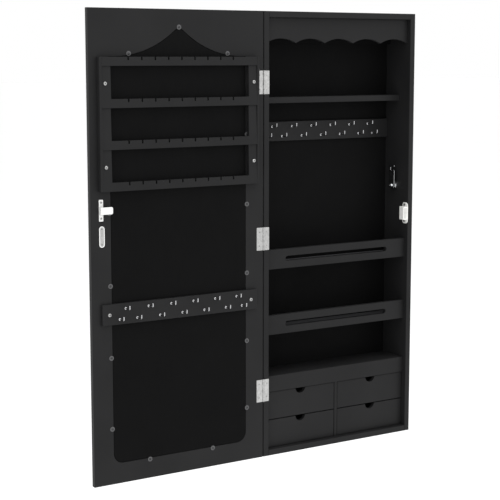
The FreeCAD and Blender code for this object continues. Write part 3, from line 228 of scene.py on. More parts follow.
# %% [markdown]
# ### Metals
#
# The hinges and most screws are nickel plated steel, rolled in one direction, so their fine lines are noise
# stretched along X. The lock is polished chrome. The washers round the mirror have a dull grey coat.

# %% Metals
steel = new_finish("steel_hardware", (0.46, 0.46, 0.455), 0.3, metallic=1.0)
lines = pattern(steel, 2600, 2, (0.04, 1, 1))
vary(steel, "Roughness", lines, (0.3, 0.24), (0.75, 0.42))
vary(steel, "Base Color", pattern(steel, 180, 3),
     (0.3, (0.40, 0.40, 0.395)), (0.7, (0.52, 0.52, 0.515)))
skin(steel, [(lines, 1.0)], 0.006)

chrome = new_finish("chrome_hardware", (0.78, 0.79, 0.80), 0.08, metallic=1.0)
spots = pattern(chrome, 300, 4)
vary(chrome, "Roughness", spots, (0.4, 0.06), (0.8, 0.16))
vary(chrome, "Base Color", spots, (0.3, (0.74, 0.75, 0.76)), (0.8, (0.82, 0.83, 0.84)))

grey_washer = new_finish("grey_washer", (0.08, 0.08, 0.082), 0.45, metallic=0.15)
cast = pattern(grey_washer, 900, 3)
vary(grey_washer, "Base Color", cast, (0.3, (0.066, 0.066, 0.068)), (0.75, (0.098, 0.098, 0.100)))
vary(grey_washer, "Roughness", cast, (0.3, 0.38), (0.7, 0.55))
skin(grey_washer, [(cast, 1.0)], 0.02)
print("metals:", steel.name, chrome.name, grey_washer.name)

# %% [markdown]
# ### White parts and bare wood
#
# The latch bracket is steel with a white coat, which is smooth but never quite even. The catch is moulded
# plastic with the fine matt grain of its mould. The dowels are beech, whose rays are short dashes along the
# grain, so their noise is stretched along the dowel.

# %% White parts and bare wood
white_metal = new_finish("white_metal", (0.8, 0.8, 0.79), 0.35)
coat = pattern(white_metal, 1300, 2)
vary(white_metal, "Base Color", coat, (0.3, (0.76, 0.76, 0.75)), (0.75, (0.84, 0.84, 0.83)))
vary(white_metal, "Roughness", coat, (0.3, 0.28), (0.75, 0.42))
skin(white_metal, [(coat, 1.0)], 0.02)

white_plastic = new_finish("white_plastic", (0.78, 0.78, 0.76), 0.4)
moulded = pattern(white_plastic, 1700, 2)
vary(white_plastic, "Base Color", pattern(white_plastic, 120, 3),
     (0.3, (0.74, 0.74, 0.71)), (0.7, (0.82, 0.82, 0.80)))
vary(white_plastic, "Roughness", moulded, (0.3, 0.34), (0.7, 0.5))
skin(white_plastic, [(moulded, 1.0)], 0.015)

beech = new_finish("beech_dowel", (0.62, 0.42, 0.24), 0.6)
rays = pattern(beech, 500, 5, (0.05, 1, 1))
vary(beech, "Base Color", rays, (0.3, (0.50, 0.32, 0.17)), (0.7, (0.70, 0.50, 0.30)))
vary(beech, "Roughness", rays, (0.3, 0.5), (0.7, 0.7))
skin(beech, [(rays, 1.0)], 0.03)

print("whites and wood ready")

# %% [markdown]
# ### Grey screws and bright wire
#
# The screws in the washers are zinc plated and passivated grey, darker than the screws of the rack. The
# same dark grey on the screws of the catch is painted shade, for the shade in the holes of its ears. The
# hooks are drawn wire with a bright plating, a little dark between its highlights.

# %% Grey screws and bright wire
grey_screw_and_shade = new_finish("grey_screw_and_shade", (0.06, 0.06, 0.062), 0.4, metallic=0.5)
plating = pattern(grey_screw_and_shade, 1200, 3)
vary(grey_screw_and_shade, "Base Color", plating, (0.3, (0.045, 0.045, 0.047)), (0.75, (0.075, 0.075, 0.078)))
vary(grey_screw_and_shade, "Roughness", plating, (0.3, 0.32), (0.75, 0.5))

bright_wire = new_finish("bright_wire", (0.52, 0.52, 0.53), 0.22, metallic=1.0)
drawn = pattern(bright_wire, 1500, 2)
vary(bright_wire, "Base Color", drawn, (0.3, (0.46, 0.46, 0.47)), (0.75, (0.58, 0.58, 0.59)))
vary(bright_wire, "Roughness", drawn, (0.3, 0.16), (0.75, 0.30))
print("small metals:", grey_screw_and_shade.name, bright_wire.name)

# %% [markdown]
# ## Dressing the imported pieces
#
# Every imported piece names the finish slot it belongs to. A table from slot to finish is enough to dress
# all sixty at once. The hanging rail is the exception: it hides behind the valance, and the darker finish
# of the back panel on it is painted shade, for the shade behind the valance.

# %% Give each imported piece its finish
FINISHES = {
    "black_paint": black_paint,
    "black_board": black_board,
    "mirror": mirror,
    "steel_hardware": steel,
    "chrome_hardware": chrome,
    "grey_washer": grey_washer,
    "white_plastic": white_plastic,
    "white_metal": white_metal,
    "beech_dowel": beech,
}
SLOTS = {}
for name, node in frame["nodes"].items():
    SLOTS[name] = node.material_slots[0].material.name.split(".")[0]
    node.material_slots[0].material = FINISHES[SLOTS[name]]
# The darker board finish on the hanging rail is painted shade behind the valance.
frame["nodes"]["hanging_rail"].material_slots[0].material = black_board
print("dressed:", len(frame["nodes"]))

# %% [markdown]
# ## Shapes
#
# Screws, hooks, washers and the lock are turned or bent from round stock, and the boards are sawn and
# then rubbed down along their edges. So four tools are enough: one that turns a profile, one that sweeps a
# round wire along a path, one that cuts one shape with another, and one that rounds the sharp edges of a
# packed board. A ready-made cylinder would be quicker, but it has no crown, no thread and no recess. All
# of them end in the same two steps: a mesh with smooth and sharp edges, and an object that rides with its
# body.

# %% From a shape to a finished piece
SMOOTH_BELOW = math.radians(35)


def to_mesh(name, shape):
    """Mesh of a bmesh shape, smooth except along its sharper edges."""
    bmesh.ops.recalc_face_normals(shape, faces=shape.faces)
    mesh = bpy.data.meshes.new(name)
    shape.to_mesh(mesh)
    shape.free()
    if "custom_normal" in mesh.attributes:
        mesh.attributes.remove(mesh.attributes["custom_normal"])
    mesh.shade_smooth()
    mesh.set_sharp_from_angle(angle=SMOOTH_BELOW)
    return mesh


def show(name, mesh, finish, body, nodes, slot):
    """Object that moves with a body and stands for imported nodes, if any."""
    piece = bpy.data.objects.new(name, mesh)
    bpy.context.scene.collection.objects.link(piece)
    mesh.materials.clear()
    mesh.materials.append(finish)
    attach(piece, body)
    if nodes:
        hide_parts(*nodes)
    return piece


print("shape helpers: to_mesh, show")

# %% [markdown]
# ### Turned pieces
#
# A lathe makes every round part here. In code it is a profile of (radius, height) points, copied round the
# axis in steps and joined ring by ring. The profile can be read like a drawing, which a stack of cylinders
# can't.

# %% Turning a profile
def bridge(shape, low, high):
    """Faces between two rings; a ring of one point is a tip."""
    count = max(len(low), len(high))
    for i in range(count):
        j = (i + 1) % count
        corners = [low[i % len(low)], low[j % len(low)], high[j % len(high)], high[i % len(high)]]
        corners = list(dict.fromkeys(corners))
        if len(corners) > 2:
            shape.faces.new(corners)


def turned(profile, steps=32, hollow=False):
    """Shape turned about +Z from (radius, height) points in millimetres."""
    shape = bmesh.new()
    rings = []
    for radius, height in profile:
        if radius == 0:
            rings.append([shape.verts.new((0, 0, height * MM))])
            continue
        angles = [math.tau * i / steps for i in range(steps)]
        ring = [(radius * math.cos(a) * MM, radius * math.sin(a) * MM, height * MM) for a in angles]
        rings.append([shape.verts.new(point) for point in ring])
    for low, high in zip(rings, rings[1:]):
        bridge(shape, low, high)
    if hollow:
        bridge(shape, rings[-1], rings[0])
    return shape


test_cone = turned([(0, 0), (5, 0), (0, 8)])
print("a cone of", len(test_cone.faces), "faces")
test_cone.free()

# %% [markdown]
# ### Bent wire
#
# A wire could be a curve with a round bevel, but a curve can't thin out to a rounded tip without more
# settings. Rings at stations along the path can, because each station has its own radius.

# %% Bending a wire
WIRE_SIDES = 20


def swept(path, side):
    """Round wire through (point, radius) stations; side is square to the plane of the bend."""
    shape = bmesh.new()
    rings = []
    for i, (point, radius) in enumerate(path):
        before, after = path[max(i - 1, 0)][0], path[min(i + 1, len(path) - 1)][0]
        up = (after - before).normalized().cross(side)
        ring = []
        for k in range(WIRE_SIDES):
            angle = math.tau * k / WIRE_SIDES
            ring.append(shape.verts.new(point + radius * (math.cos(angle) * side + math.sin(angle) * up)))
        rings.append(ring)
    for low, high in zip(rings, rings[1:]):
        bridge(shape, low, high)
    shape.faces.new(rings[0])
    shape.faces.new(rings[-1])
    return shape


print("swept: stations along a path, one ring at each")

# %% [markdown]
# ### Cutting and repeating
#
# A recess is the one thing a lathe can't make, so it is cut with the boolean modifier. The same screw, hook
# or washer then stands in many places. One mesh with all of them keeps the scene short, and each copy can
# be turned differently.

# %% Cutting one shape with another
def cut(shape, cutter):
    """Shape less the cutter, by the boolean modifier on two objects that are thrown away."""
    made = []
    for label, part in (("blank", shape), ("knife", cutter)):
        made.append(bpy.data.objects.new(label, to_mesh(label, part)))
        bpy.context.scene.collection.objects.link(made[-1])
    blank, knife = made
    boolean = blank.modifiers.new("cut", "BOOLEAN")
    boolean.operation = "DIFFERENCE"
    boolean.object = knife
    graph = bpy.context.evaluated_depsgraph_get()
    mesh = bpy.data.meshes.new_from_object(blank.evaluated_get(graph))
    result = bmesh.new()
    result.from_mesh(mesh)
    for thing in made:
        bpy.data.objects.remove(thing)
    bpy.data.meshes.remove(mesh)
    return result


print("cut: blank less knife")

# %% Repeating a shape
def facing(point, direction, turn=0.0):
    """Placement that lays +Z of a shape along a direction, turned about it by some degrees."""
    aim = Vector(direction).to_track_quat("Z", "Y").to_matrix().to_4x4()
    return Matrix.Translation(point) @ aim @ Matrix.Rotation(math.radians(turn), 4, "Z")


def repeated(name, shape, placements):
    """One mesh with the shape at every placement."""
    pattern_mesh = to_mesh("pattern", shape)
    total = bmesh.new()
    for placement in placements:
        start = len(total.verts)
        total.from_mesh(pattern_mesh)
        total.verts.ensure_lookup_table()
        bmesh.ops.transform(total, matrix=placement, verts=total.verts[start:])
    bpy.data.meshes.remove(pattern_mesh)
    return to_mesh(name, total)


print("repeated: one mesh from many placements")

# %% [markdown]
# ### Finding places
#
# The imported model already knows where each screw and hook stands. Reading those places off its meshes is
# safer than typing them again: the loose parts of a node are told apart by walking along their edges.

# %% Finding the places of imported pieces
def islands(node):
    """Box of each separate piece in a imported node, lowest first."""
    shape = bmesh.new()
    shape.from_mesh(frame["nodes"][node].data)
    bmesh.ops.remove_doubles(shape, verts=shape.verts, dist=WELD)
    shape.verts.ensure_lookup_table()
    seen, boxes = set(), []
    for vert in shape.verts:
        if vert.index in seen:
            continue
        seen.add(vert.index)
        group, queue = [], [vert]
        while queue:
            current = queue.pop()
            group.append(current.co.copy())
            for edge in current.link_edges:
                other = edge.other_vert(current)
                if other.index not in seen:
                    seen.add(other.index)
                    queue.append(other)
        boxes.append([Vector([pick(co[k] for co in group) for k in range(3)]) for pick in (min, max)])
    shape.free()
    return sorted(boxes, key=lambda box: (round(box[0].z, 4), round(box[0].x, 4)))


def middle_of(low, high):
    return (low + high) / 2


print("screws round the mirror:", len(islands("mirror_washer_screws")))

# %% [markdown]
# ## Boards with rubbed-down edges
#
# A sawn edge is never left knife sharp: it is rubbed down before painting, and the paint rounds it more.
# That small round is what draws the thin light lines along shelves and rails. Each packed board is copied,
# its triangles are dissolved back into plain faces, and a bevel modifier rounds every edge sharper than
# forty degrees. Rounding the copy instead of drawing the board again keeps it exactly where it was. The
# bevel is told not to slide along slanted edges, or it would fold the flat faces round a hole.

# %% Copying and rounding a packed board
SHARP = math.radians(40)
FLAT = math.radians(0.6)
MEMBERS = frame["record"]["behaviour"]["bodies"]


def copied(node):
    """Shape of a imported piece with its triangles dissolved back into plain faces."""
    shape = bmesh.new()
    shape.from_mesh(frame["nodes"][node].data)
    bmesh.ops.remove_doubles(shape, verts=shape.verts, dist=WELD)
    bmesh.ops.dissolve_limit(shape, angle_limit=FLAT, verts=shape.verts, edges=shape.edges)
    return shape


def softened(node, width, segments=3, slot_name=None, share=None, shape=None):
    """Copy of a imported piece, its sharp edges rounded by width millimetres or by a share of it."""
    shape = shape or copied(node)
    weights = shape.edges.layers.float.new("bevel_weight_edge")
    for edge in shape.edges:
        if edge.is_manifold and edge.calc_face_angle() > SHARP:
            edge[weights] = share(edge) if share else 1.0
    slot_name = slot_name or SLOTS[node]
    body = next(name for name, members in MEMBERS.items() if node in members)
    mesh = to_mesh(node + "_made", shape)
    piece = show(node + "_made", mesh, FINISHES[slot_name], body, [node], slot_name)
    bevel = piece.modifiers.new("rubbed_edges", "BEVEL")
    bevel.width = width * MM
    bevel.segments = segments
    bevel.limit_method = "WEIGHT"
    bevel.harden_normals = True
    bevel.loop_slide = False
    return piece


print("bodies and their nodes:", {name: len(nodes) for name, nodes in MEMBERS.items()})

# %% [markdown]
# ### Boards of the cabinet and the door
#
# Thin rack boards are rubbed down less than the door's frame or the hook bar, so each board has its own
# width in millimetres.

# %% Boards of the cabinet and the door
BOARD_EDGES = {
    "scalloped_valance": 0.7,
    "upper_shelf": 0.5,
    "inner_hook_bar": 0.6,
    "drawer_fascia": 0.5,
    "drawer_cover_shelf": 0.5,
    "door_hook_bar": 0.8,
    "rack_top_bar": 0.45,
    "rack_board_upper": 0.45,
    "rack_board_middle": 0.45,
    "rack_board_lower": 0.45,
    "rack_cheeks": 0.45,
    "door_frame": 0.7,
}
for node, width in BOARD_EDGES.items():
    softened(node, width)
print("boards rounded:", len(BOARD_EDGES))

# %% [markdown]
# ### Tray rails
#
# The long slot in each tray rail is routed and then rubbed down more than the rail's own edges, so its
# lower lip catches light. A bevel that follows edge weights can do both: full width round the slot, and
# less than a quarter of it elsewhere.

# %% Tray rails
SLOT_REACH, SLOT_HALF = 6 * MM, 130 * MM
SLOT_ROUND, EDGE_ROUND = 2.2, 0.5


def slotted_rail(node):
    """Rail whose slot edges are rounded more than the rest."""
    low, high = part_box(node)
    middle = (low.z + high.z) / 2

    def share(edge):
        near = [abs(end.co.z - middle) < SLOT_REACH and abs(end.co.x) < SLOT_HALF for end in edge.verts]
        return 1.0 if all(near) else EDGE_ROUND / SLOT_ROUND

    softened(node, SLOT_ROUND, share=share)


for node in ("upper_tray_rail", "lower_tray_rail"):
    slotted_rail(node)
print("slots rounded by", SLOT_ROUND, "mm")

# %% [markdown]
# ### Felt lining
#
# The floors of the trays and drawers are lined with thin dark felt, which keeps small jewelry from sliding.
# Its grey is a few times lighter than the paint, and that lightness is painted light: it stands for the
# light that falls on the tray floors through the slots. Felt has no direction: it is short fibres pressed
# together, so two noises of different scale are mixed into its relief. It has almost no gloss, which sets
# it apart from the paint around it.

# %% Felt on the floors
# The felt's grey is lighter than the black paint: painted light on the tray floors, seen through the slots.
felt_and_painted_light = new_finish("felt_and_painted_light", (0.05, 0.05, 0.052), 0.95, specular=0.1)
tufts = pattern(felt_and_painted_light, 900, 5)
vary(felt_and_painted_light, "Base Color", tufts, (0.3, (0.036, 0.036, 0.038)), (0.75, (0.066, 0.066, 0.069)))
skin(felt_and_painted_light, [(tufts, 1.0), (pattern(felt_and_painted_light, 2600, 2), 0.5)], 0.12)
for node in ("upper_tray_floor", "lower_tray_floor"):
    tray_floor = softened(node, 0.4)
    tray_floor.data.materials[0] = felt_and_painted_light

DRAWERS = [f"drawer_{row}_{hand}" for row in ("lower", "upper") for hand in ("left", "right")]
for drawer in DRAWERS:
    frame["nodes"][drawer + "_floor"].material_slots[0].material = felt_and_painted_light
print("felt on two tray floors and the floors of", DRAWERS)

# %% [markdown]
# ### Drawers
#
# Four small drawers, each a painted front with a finger notch and a plain black box behind it. The front is
# rubbed down more than a shelf, because fingers pull at it.

# %% Drawer fronts
for drawer in DRAWERS:
    softened(drawer + "_front", 0.9, 4)
print("drawer fronts rounded:", len(DRAWERS))

# %% [markdown]
# ### Divider between the drawers
#
# The upright between the drawers ends almost level with their fronts, so a thin dark gap shows on both
# sides of it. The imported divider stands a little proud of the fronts, so its front face is moved in by a
# millimetre and a half before its edges are rounded.

# %% Divider
DIVIDER_FRONT = at(0, 11.7, 0).y
MOVED_IN = 1.5 * MM

divider = copied("drawer_divider")
for vert in divider.verts:
    if vert.co.y < DIVIDER_FRONT:
        vert.co.y += MOVED_IN
softened("drawer_divider", 0.3, 2, shape=divider)
print("divider front moved in by", MOVED_IN / MM, "mm")

# %% [markdown]
# ## Screws
#
# A wood screw has a head with a cross recess, a plain neck and a thread. The recess matters most: it is the
# dark point in the middle of every bright head. It is cut with a tapered cross, and the thread is turned as
# rings, since nobody sees its helix inside the wood.

# %% A cross recess
KNIFE_ABOVE, KNIFE_STRAIGHT, KNIFE_TIP = 0.4, 0.1, 0.45


def cross_knife(reach, width, top, depth):
    """Tapered cross that stands above the head and goes down into it, to a smaller tip."""
    half = width / 2
    corners = [(reach, -half), (reach, half), (half, half), (half, reach), (-half, reach), (-half, half)]
    corners += [(-x, -y) for x, y in corners]
    shape = bmesh.new()
    rings = []
    for share, height in ((1.0, top + KNIFE_ABOVE), (1.0, top - KNIFE_STRAIGHT), (KNIFE_TIP, top - depth)):
        rings.append([shape.verts.new((x * share * MM, y * share * MM, height * MM)) for x, y in corners])
    for low, high in zip(rings, rings[1:]):
        bridge(shape, low, high)
    shape.faces.new(rings[0])
    shape.faces.new(rings[-1])
    return shape


print("cross recess ready")

# %% Pan and countersunk screws
THREAD_PITCH = 1.1
ROOT, CREST = 0.74, 0.98
SCREW_SIDES = 28
DOME = ((1.0, 0.25), (0.97, 0.55), (0.88, 0.80), (0.70, 0.95), (0.4, 1.0))


def thread(radius, top, bottom):
    """Profile points from the tip up to the neck, root and crest in turn."""
    points = [(0, bottom)]
    height = bottom + 1.2 * radius
    while height < top - THREAD_PITCH:
        points += [(radius * ROOT, height), (radius * CREST, height + THREAD_PITCH * 0.4)]
        height += THREAD_PITCH * 0.8
    return points + [(radius * ROOT, top - THREAD_PITCH * 0.5)]


def pan_screw(shank, head, crown, length):
    """Screw whose seat is at 0 and whose domed head stands up from it."""
    rim = head / 2
    profile = thread(shank / 2, 0, -length) + [(shank / 2 * CREST, 0), (rim, 0)]
    profile += [(rim * across, crown * up) for across, up in DOME] + [(0, crown)]
    knife = cross_knife(reach=rim * 0.62, width=rim * 0.26, top=crown, depth=crown * 0.85)
    return cut(turned(profile, SCREW_SIDES), knife)


def flat_screw(shank, head, length):
    """Screw whose flat head ends just below 0, in its countersink."""
    rim, low = head / 2, 0.06
    profile = thread(shank / 2, -rim, -length) + [(shank / 2 * CREST, -low - (rim - shank / 2))]
    profile += [(rim, -low - 0.1), (rim, -low), (rim * 0.9, -low * 0.6), (0, -low * 0.6)]
    knife = cross_knife(reach=rim * 0.64, width=rim * 0.28, top=-low * 0.6, depth=rim * 0.55)
    return cut(turned(profile, SCREW_SIDES), knife)


sample = pan_screw(shank=2.4, head=4.8, crown=1.4, length=10)
print("faces of one small screw:", len(sample.faces))
sample.free()

# %% [markdown]
# ### Screws and washers round the mirror
#
# Fifteen grey washers hold the backing board in its rebate. A washer is pressed from thin plate, so its
# outer edge is rounded on the seen side, and the small screw in it is grey as well.

# %% Screws and washers round the mirror
OUTWARD = Vector((0, -1, 0))
WASHER_BORE, WASHER_RIM, WASHER_TOP = 1.3, 4.75, 0.8
WASHER_PROFILE = [
    (WASHER_BORE, 0), (WASHER_RIM, 0), (WASHER_RIM, 0.35), (4.6, 0.62),
    (4.2, WASHER_TOP), (1.6, WASHER_TOP), (WASHER_BORE, 0.7),
]

seats = []
for low, high in islands("mirror_washers"):
    middle = middle_of(low, high)
    seats.append(Vector((middle.x, high.y, middle.z)))
ring = turned(WASHER_PROFILE, steps=36, hollow=True)
washers = repeated("washers", ring, [facing(seat, OUTWARD) for seat in seats])
show("washers", washers, grey_washer, "door", ["mirror_washers"], "grey_washer")
tops = [facing(seat + OUTWARD * WASHER_TOP * MM, OUTWARD, turn=23 * i) for i, seat in enumerate(seats)]
washer_screws = repeated("washer_screws", pan_screw(shank=2.4, head=4.8, crown=1.4, length=10), tops)
show("washer_screws", washer_screws, grey_screw_and_shade, "door", ["mirror_washer_screws"], "steel_hardware")
print("washers:", len(seats))

# %% [markdown]
# ### Screws of the rack and the hook bar
#
# Six larger pan screws hold the rack and the bar on the door. Their heads are bright, so they are the
# whitest dots on it. Every packed screw gives its own place, and each is turned by a different angle,
# because nobody lines up the recesses.

# %% Screws of the rack and the hook bar
def heads_in_front(node, crown):
    """Seats of the screws in a node whose heads look to the front."""
    found = []
    for low, high in islands(node):
        middle = middle_of(low, high)
        found.append(Vector((middle.x, low.y + crown * MM, middle.z)))
    return found


RACK_CROWN = 2.2
heads = heads_in_front("door_pan_screws", RACK_CROWN)
rack_seats = [facing(seat, OUTWARD, turn=31 * i) for i, seat in enumerate(heads)]
rack_screw = pan_screw(shank=3.2, head=7.0, crown=RACK_CROWN, length=15)
rack_screws = repeated("rack_screws", rack_screw, rack_seats)
show("rack_screws", rack_screws, steel, "door", ["door_pan_screws"], "steel_hardware")
print("rack and bar screws:", len(rack_seats))

# %% [markdown]
# ### Hinge, latch and catch screws
#
# Hinges, bracket and strike plate have countersunk holes, so their screws lie flush. The catch has flat
# ears, so its two screws have pan heads. They look away from the side board, along -X.

# %% Hinge, latch and catch screws
INWARD = Vector((-1, 0, 0))
CATCH_CROWN = 1.4
FLAT_SCREWS = {
    "cabinet_hinge_screws": ("cabinet", 4.2, 11.0),
    "door_hinge_screws": ("door", 4.2, 11.0),
    "door_fitting_screws": ("door", 4.8, 9.0),
}
for node, (body, head, length) in FLAT_SCREWS.items():
    places = [facing(seat, OUTWARD, turn=17 * i) for i, seat in enumerate(heads_in_front(node, 0))]
    mesh = repeated(node + "_made", flat_screw(2.4, head, length), places)
    show(node + "_made", mesh, steel, body, [node], "steel_hardware")

catch_seats = []
for low, high in islands("catch_screws"):
    middle = middle_of(low, high)
    catch_seats.append(facing(Vector((low.x + CATCH_CROWN * MM, middle.y, middle.z)), INWARD, turn=40))
catch_screw = pan_screw(shank=2.4, head=4.8, crown=CATCH_CROWN, length=9)
catch_mesh = repeated("catch_screws_made", catch_screw, catch_seats)
# The dark grey finish on the catch screws is painted shade in the holes of the ears.
show("catch_screws_made", catch_mesh, grey_screw_and_shade, "cabinet", ["catch_screws"], "steel_hardware")
print("catch screws:", len(catch_seats))

# %% [markdown]
# ## Hooks
#
# Each hook is one length of wire, screwed into the bar, bent up at its end and rounded at its tip, with a
# small pressed collar against the wood. The wire is swept along a straight run, a quarter circle and a
# short rise; the last stations get thinner along a quarter circle, which rounds the tip.

# %% One hook
HOLE_DEPTH, SHANK_IN_WOOD = 4.0, 3.9
BEND_STEPS, TIP_STEPS = 8, 5
COLLAR_RADIUS = 2.5
COLLAR_PROFILE = [(1.2, 0), (COLLAR_RADIUS, 0), (COLLAR_RADIUS, 0.45), (2.3, 0.8), (1.9, 1.0), (1.2, 1.0)]


def hook_path(reach, bend, rise, radius):
    """Stations of the wire: it starts in the wood behind 0 and runs out along -Y."""
    straight = reach - bend
    stations = [(Vector((0, y, 0)), radius) for y in (SHANK_IN_WOOD, 0, -straight)]
    for i in range(1, BEND_STEPS + 1):
        angle = math.radians(90 * i / BEND_STEPS)
        y, z = -straight - bend * math.sin(angle), bend - bend * math.cos(angle)
        stations.append((Vector((0, y, z)), radius))
    for i in range(TIP_STEPS):
        angle = math.radians(90 * i / TIP_STEPS)
        z = rise - radius + radius * math.sin(angle)
        stations.append((Vector((0, -reach, z)), radius * math.cos(angle)))
    return [(point * MM, size * MM) for point, size in stations]


def hooks(name, node):
    """All hooks of one bar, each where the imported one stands."""
    wire = swept(hook_path(reach=18, bend=3, rise=8, radius=1.2), Vector((1, 0, 0)))
    collar = turned(COLLAR_PROFILE, steps=28, hollow=True)
    places = []
    for low, high in islands(node):
        middle = middle_of(low, high)
        places.append(Vector((middle.x, high.y - HOLE_DEPTH * MM, low.z + COLLAR_RADIUS * MM)))
    total = bmesh.new()
    wires = repeated(name + "_wires", wire, [Matrix.Translation(place) for place in places])
    collars = repeated(name + "_collars", collar, [facing(place, OUTWARD) for place in places])
    for mesh in (wires, collars):
        total.from_mesh(mesh)
        bpy.data.meshes.remove(mesh)
    return to_mesh(name, total)


HOOK_ROWS = (("hooks_inside", "inner_hooks", "cabinet"), ("hooks_on_door", "door_hooks", "door"))
for name, node, body in HOOK_ROWS:
    show(name, hooks(name, node), bright_wire, body, [node], "steel_hardware")
print("hooks on each bar:", len(islands("door_hooks")))

# %% [markdown]
# ## Hinges
#
# Three butt hinges: two pressed leaves each, rolled into knuckles round a pin. The leaves are thin plate
# with sheared, slightly rounded edges, so a bevel of a fifth of a millimetre is enough.

# %% Hinges
softened("cabinet_hinge_leaves", 0.2)
softened("door_hinge_leaves", 0.2)
softened("hinge_pins", 0.2, 2)
print("hinge leaves and pins rounded")

# %% [markdown]
# ## Lock
#
# The lock is a threaded barrel through the side board, held by a hexagon nut inside. A plug turns in it and
# drives a flat cam with a slot. Polished edges of the cam catch the light even where its face only mirrors
# the black wall, so its edges get a wide bevel.

# %% Lock barrel
LOCK_DEPTH, LOCK_HEIGHT = 45, 536.3
FLANGE_FACE, CAM_FACE = 189.3, 164.6
BARREL_BORE, BARREL_RADIUS, BARREL_ROOT, BARREL_LENGTH = 4.3, 6.0, 5.6, 22.4
FLANGE_PROFILE = [(7.9, 0), (8.5, 0.25), (9.0, 0.9), (9.0, 1.8)]
TURNS_START, TURNS_END, TURN_STEP = 2.6, 21.6, 0.9


def barrel_profile():
    """Flange and thread of the barrel, round an open bore."""
    points = [(BARREL_BORE, 0), *FLANGE_PROFILE, (BARREL_RADIUS, FLANGE_PROFILE[-1][1])]
    height = TURNS_START
    while height < TURNS_END:
        points += [(BARREL_RADIUS, height), (BARREL_ROOT, height + 0.35)]
        height += TURN_STEP
    return points + [(5.7, 22.1), (5.4, BARREL_LENGTH), (BARREL_BORE, BARREL_LENGTH)]


flange_place = facing(at(FLANGE_FACE, LOCK_DEPTH, LOCK_HEIGHT), INWARD)
barrel = repeated("lock_barrel_made", turned(barrel_profile(), steps=48, hollow=True), [flange_place])
show("lock_barrel_made", barrel, chrome, "cabinet", ["lock_barrel"], "chrome_hardware")
softened("lock_nut", 0.45)
print("lock barrel length:", BARREL_LENGTH, "mm")

# %% Plug, cam and cam screw
softened("lock_plug", 0.2, 2)
softened("lock_cam", 0.5, 4)
cam_place = facing(at(CAM_FACE, LOCK_DEPTH, LOCK_HEIGHT), INWARD, turn=10)
cam_screw = repeated("cam_screw", pan_screw(shank=2.4, head=7.0, crown=2.8, length=10), [cam_place])
show("cam_screw", cam_screw, chrome, "lock_turn", ["lock_cam_screw"], "chrome_hardware")
print("cam edges rounded by half a millimetre")

# %% [markdown]
# ## Latch and catch
#
# The bracket on the door is bent sheet with a white coat, and the strike plate is a pressed white oval
# with a shallow dish. The floor of the dish takes the darker steel finish, which is painted shade. The
# catch is a moulded white housing with two ears, a magnet and two steel pole plates. The magnet sits under
# a white cover, so it is shown apart from its plates.

# %% Latch and catch
DISH = at(0, -0.7, 0).y
SAME_LEVEL = 0.06 * MM

softened("latch_bracket", 0.25)
strike = softened("catch_plate", 0.12, 2, "white_metal")
# The faces at the floor of the dish take the darker steel finish: painted shade in the dish.
strike.data.materials.append(steel)
for face in strike.data.polygons:
    if abs(face.normal.y) > 0.9 and abs(face.center.y - DISH) < SAME_LEVEL:
        face.material_index = 1
softened("catch_body", 0.5)


def block(low, high):
    """Plain box between two corners, to be bevelled."""
    shape = bmesh.new()
    bmesh.ops.create_cube(shape, size=1.0)
    size = high - low
    placement = Matrix.Translation(middle_of(low, high)) @ Matrix.Diagonal((*size, 1))
    bmesh.ops.transform(shape, matrix=placement, verts=shape.verts)
    return shape


plates = sorted(islands("catch_magnet"), key=lambda box: box[0].x)
for name, finish, slot_name, index in (
    ("pole_plate_inner", steel, "steel_hardware", 0),
    ("magnet_cover", white_plastic, "white_plastic", 1),
    ("pole_plate_outer", steel, "steel_hardware", 2),
):
    shape = block(*plates[index])
    bmesh.ops.bevel(shape, geom=shape.edges, offset=0.12 * MM, segments=2, affect="EDGES", profile=0.5)
    show(name, to_mesh(name, shape), finish, "cabinet", ["catch_magnet"], slot_name)
print("magnet and plates:", len(plates))

# %% [markdown]
# ## Pins in the back panel
#
# The thin back panel is pinned into its rebate. The pins are flat-headed and stand a hair proud, about a
# hand's breadth apart all round.

# %% Pins in the back panel
PIN_HALF, PIN_LOW, PIN_HIGH, PIN_SPACING = 178.0, 9.5, 890.5, 97.9
PINS_ON_A_SIDE = 10
PIN_PROFILE = [(0, -2.6), (0.6, -2.0), (0.6, 0), (1.4, 0), (1.35, 0.12), (0.9, 0.22), (0, 0.25)]


def pin_places():
    """Places round the back panel, a few millimetres in from its edge."""
    places = []
    for i in range(PINS_ON_A_SIDE):
        height = PIN_LOW + PIN_SPACING * i
        places += [(-PIN_HALF, height), (PIN_HALF, height)]
    for x in (-PIN_HALF / 2, 0.0, PIN_HALF / 2):
        places += [(x, PIN_LOW), (x, PIN_HIGH)]
    return [at(x, DEPTH, h) for x, h in places]


pin = turned(PIN_PROFILE, steps=20)
pins = repeated("back_pins", pin, [facing(place, (0, 1, 0)) for place in pin_places()])
show("back_pins", pins, steel, "cabinet", (), "steel_hardware")
print("pins:", len(pin_places()))

# %% [markdown]
# ## Floor and light
#
# A pale floor and a white room give the black paint broad, quiet reflections, so that it shows its form
# instead of going flat. Three large panels add a little direction. A small lamp would make hard shadows and
# bright spots, which a picture of a black object can't carry.

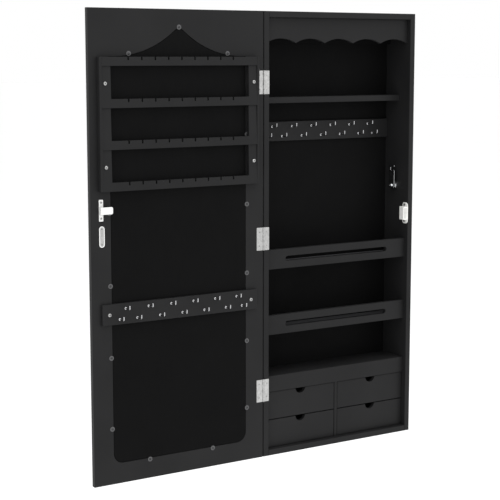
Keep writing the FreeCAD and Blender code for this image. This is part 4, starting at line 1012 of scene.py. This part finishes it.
# %% Floor
def new_floor(size, height):
    mesh = bpy.data.meshes.new("floor")
    corners = [(-size, -size, height), (size, -size, height), (size, size, height), (-size, size, height)]
    mesh.from_pydata(corners, [], [(0, 1, 2, 3)])
    floor = bpy.data.objects.new("floor", mesh)
    bpy.context.scene.collection.objects.link(floor)
    pale = new_finish("pale_floor", (0.96, 0.96, 0.96), 0.7)
    vary(pale, "Base Color", pattern(pale, 3, 3),
         (0.3, (0.955, 0.955, 0.955)), (0.7, (0.97, 0.97, 0.97)))
    mesh.materials.append(pale)


new_floor(60, at(0, 0, -500).z)
print("floor half a metre below the cabinet")

# %% Light panels
def panel(name, place, target, width, height, power):
    data = bpy.data.lights.new(name, "AREA")
    data.shape = "RECTANGLE"
    data.size, data.size_y, data.energy = width, height, power
    light = bpy.data.objects.new(name, data)
    bpy.context.scene.collection.objects.link(light)
    light.location = place
    light.rotation_mode = "QUATERNION"
    light.rotation_quaternion = (Vector(target) - Vector(place)).to_track_quat("-Z", "Y")


panel("panel_above", (0, -1.6, 4.2), (0, -0.6, 0), width=4.0, height=3.0, power=90)
panel("panel_left", (-3.2, -2.6, 1.6), (-0.2, 0, 0), width=1.8, height=2.4, power=14)
panel("panel_right", (2.6, -3.2, 1.2), (0, 0, 0), width=1.8, height=2.4, power=8)
print("three panels")

# %% [markdown]
# ### The room
#
# The room is one even white, a touch stronger as light than as seen behind the cabinet. The light path node
# tells the two apart.

# %% The room
SEEN, LIT = 1.0, 1.04

world = bpy.data.worlds.new("room")
bpy.context.scene.world = world
world.use_nodes = True
tree = world.node_tree
tree.nodes.clear()
seen = tree.nodes.new("ShaderNodeBackground")
seen.inputs["Strength"].default_value = SEEN
lit = tree.nodes.new("ShaderNodeBackground")
lit.inputs["Strength"].default_value = LIT
rays_node = tree.nodes.new("ShaderNodeLightPath")
choose = tree.nodes.new("ShaderNodeMixShader")
out = tree.nodes.new("ShaderNodeOutputWorld")
for background in (seen, lit):
    background.inputs["Color"].default_value = (1, 1, 1, 1)
tree.links.new(rays_node.outputs["Is Camera Ray"], choose.inputs["Fac"])
tree.links.new(lit.outputs[0], choose.inputs[1])
tree.links.new(seen.outputs[0], choose.inputs[2])
tree.links.new(choose.outputs[0], out.inputs["Surface"])
bpy.context.scene.view_settings.view_transform = "Standard"
print("room lit by", LIT, "and seen at", SEEN)
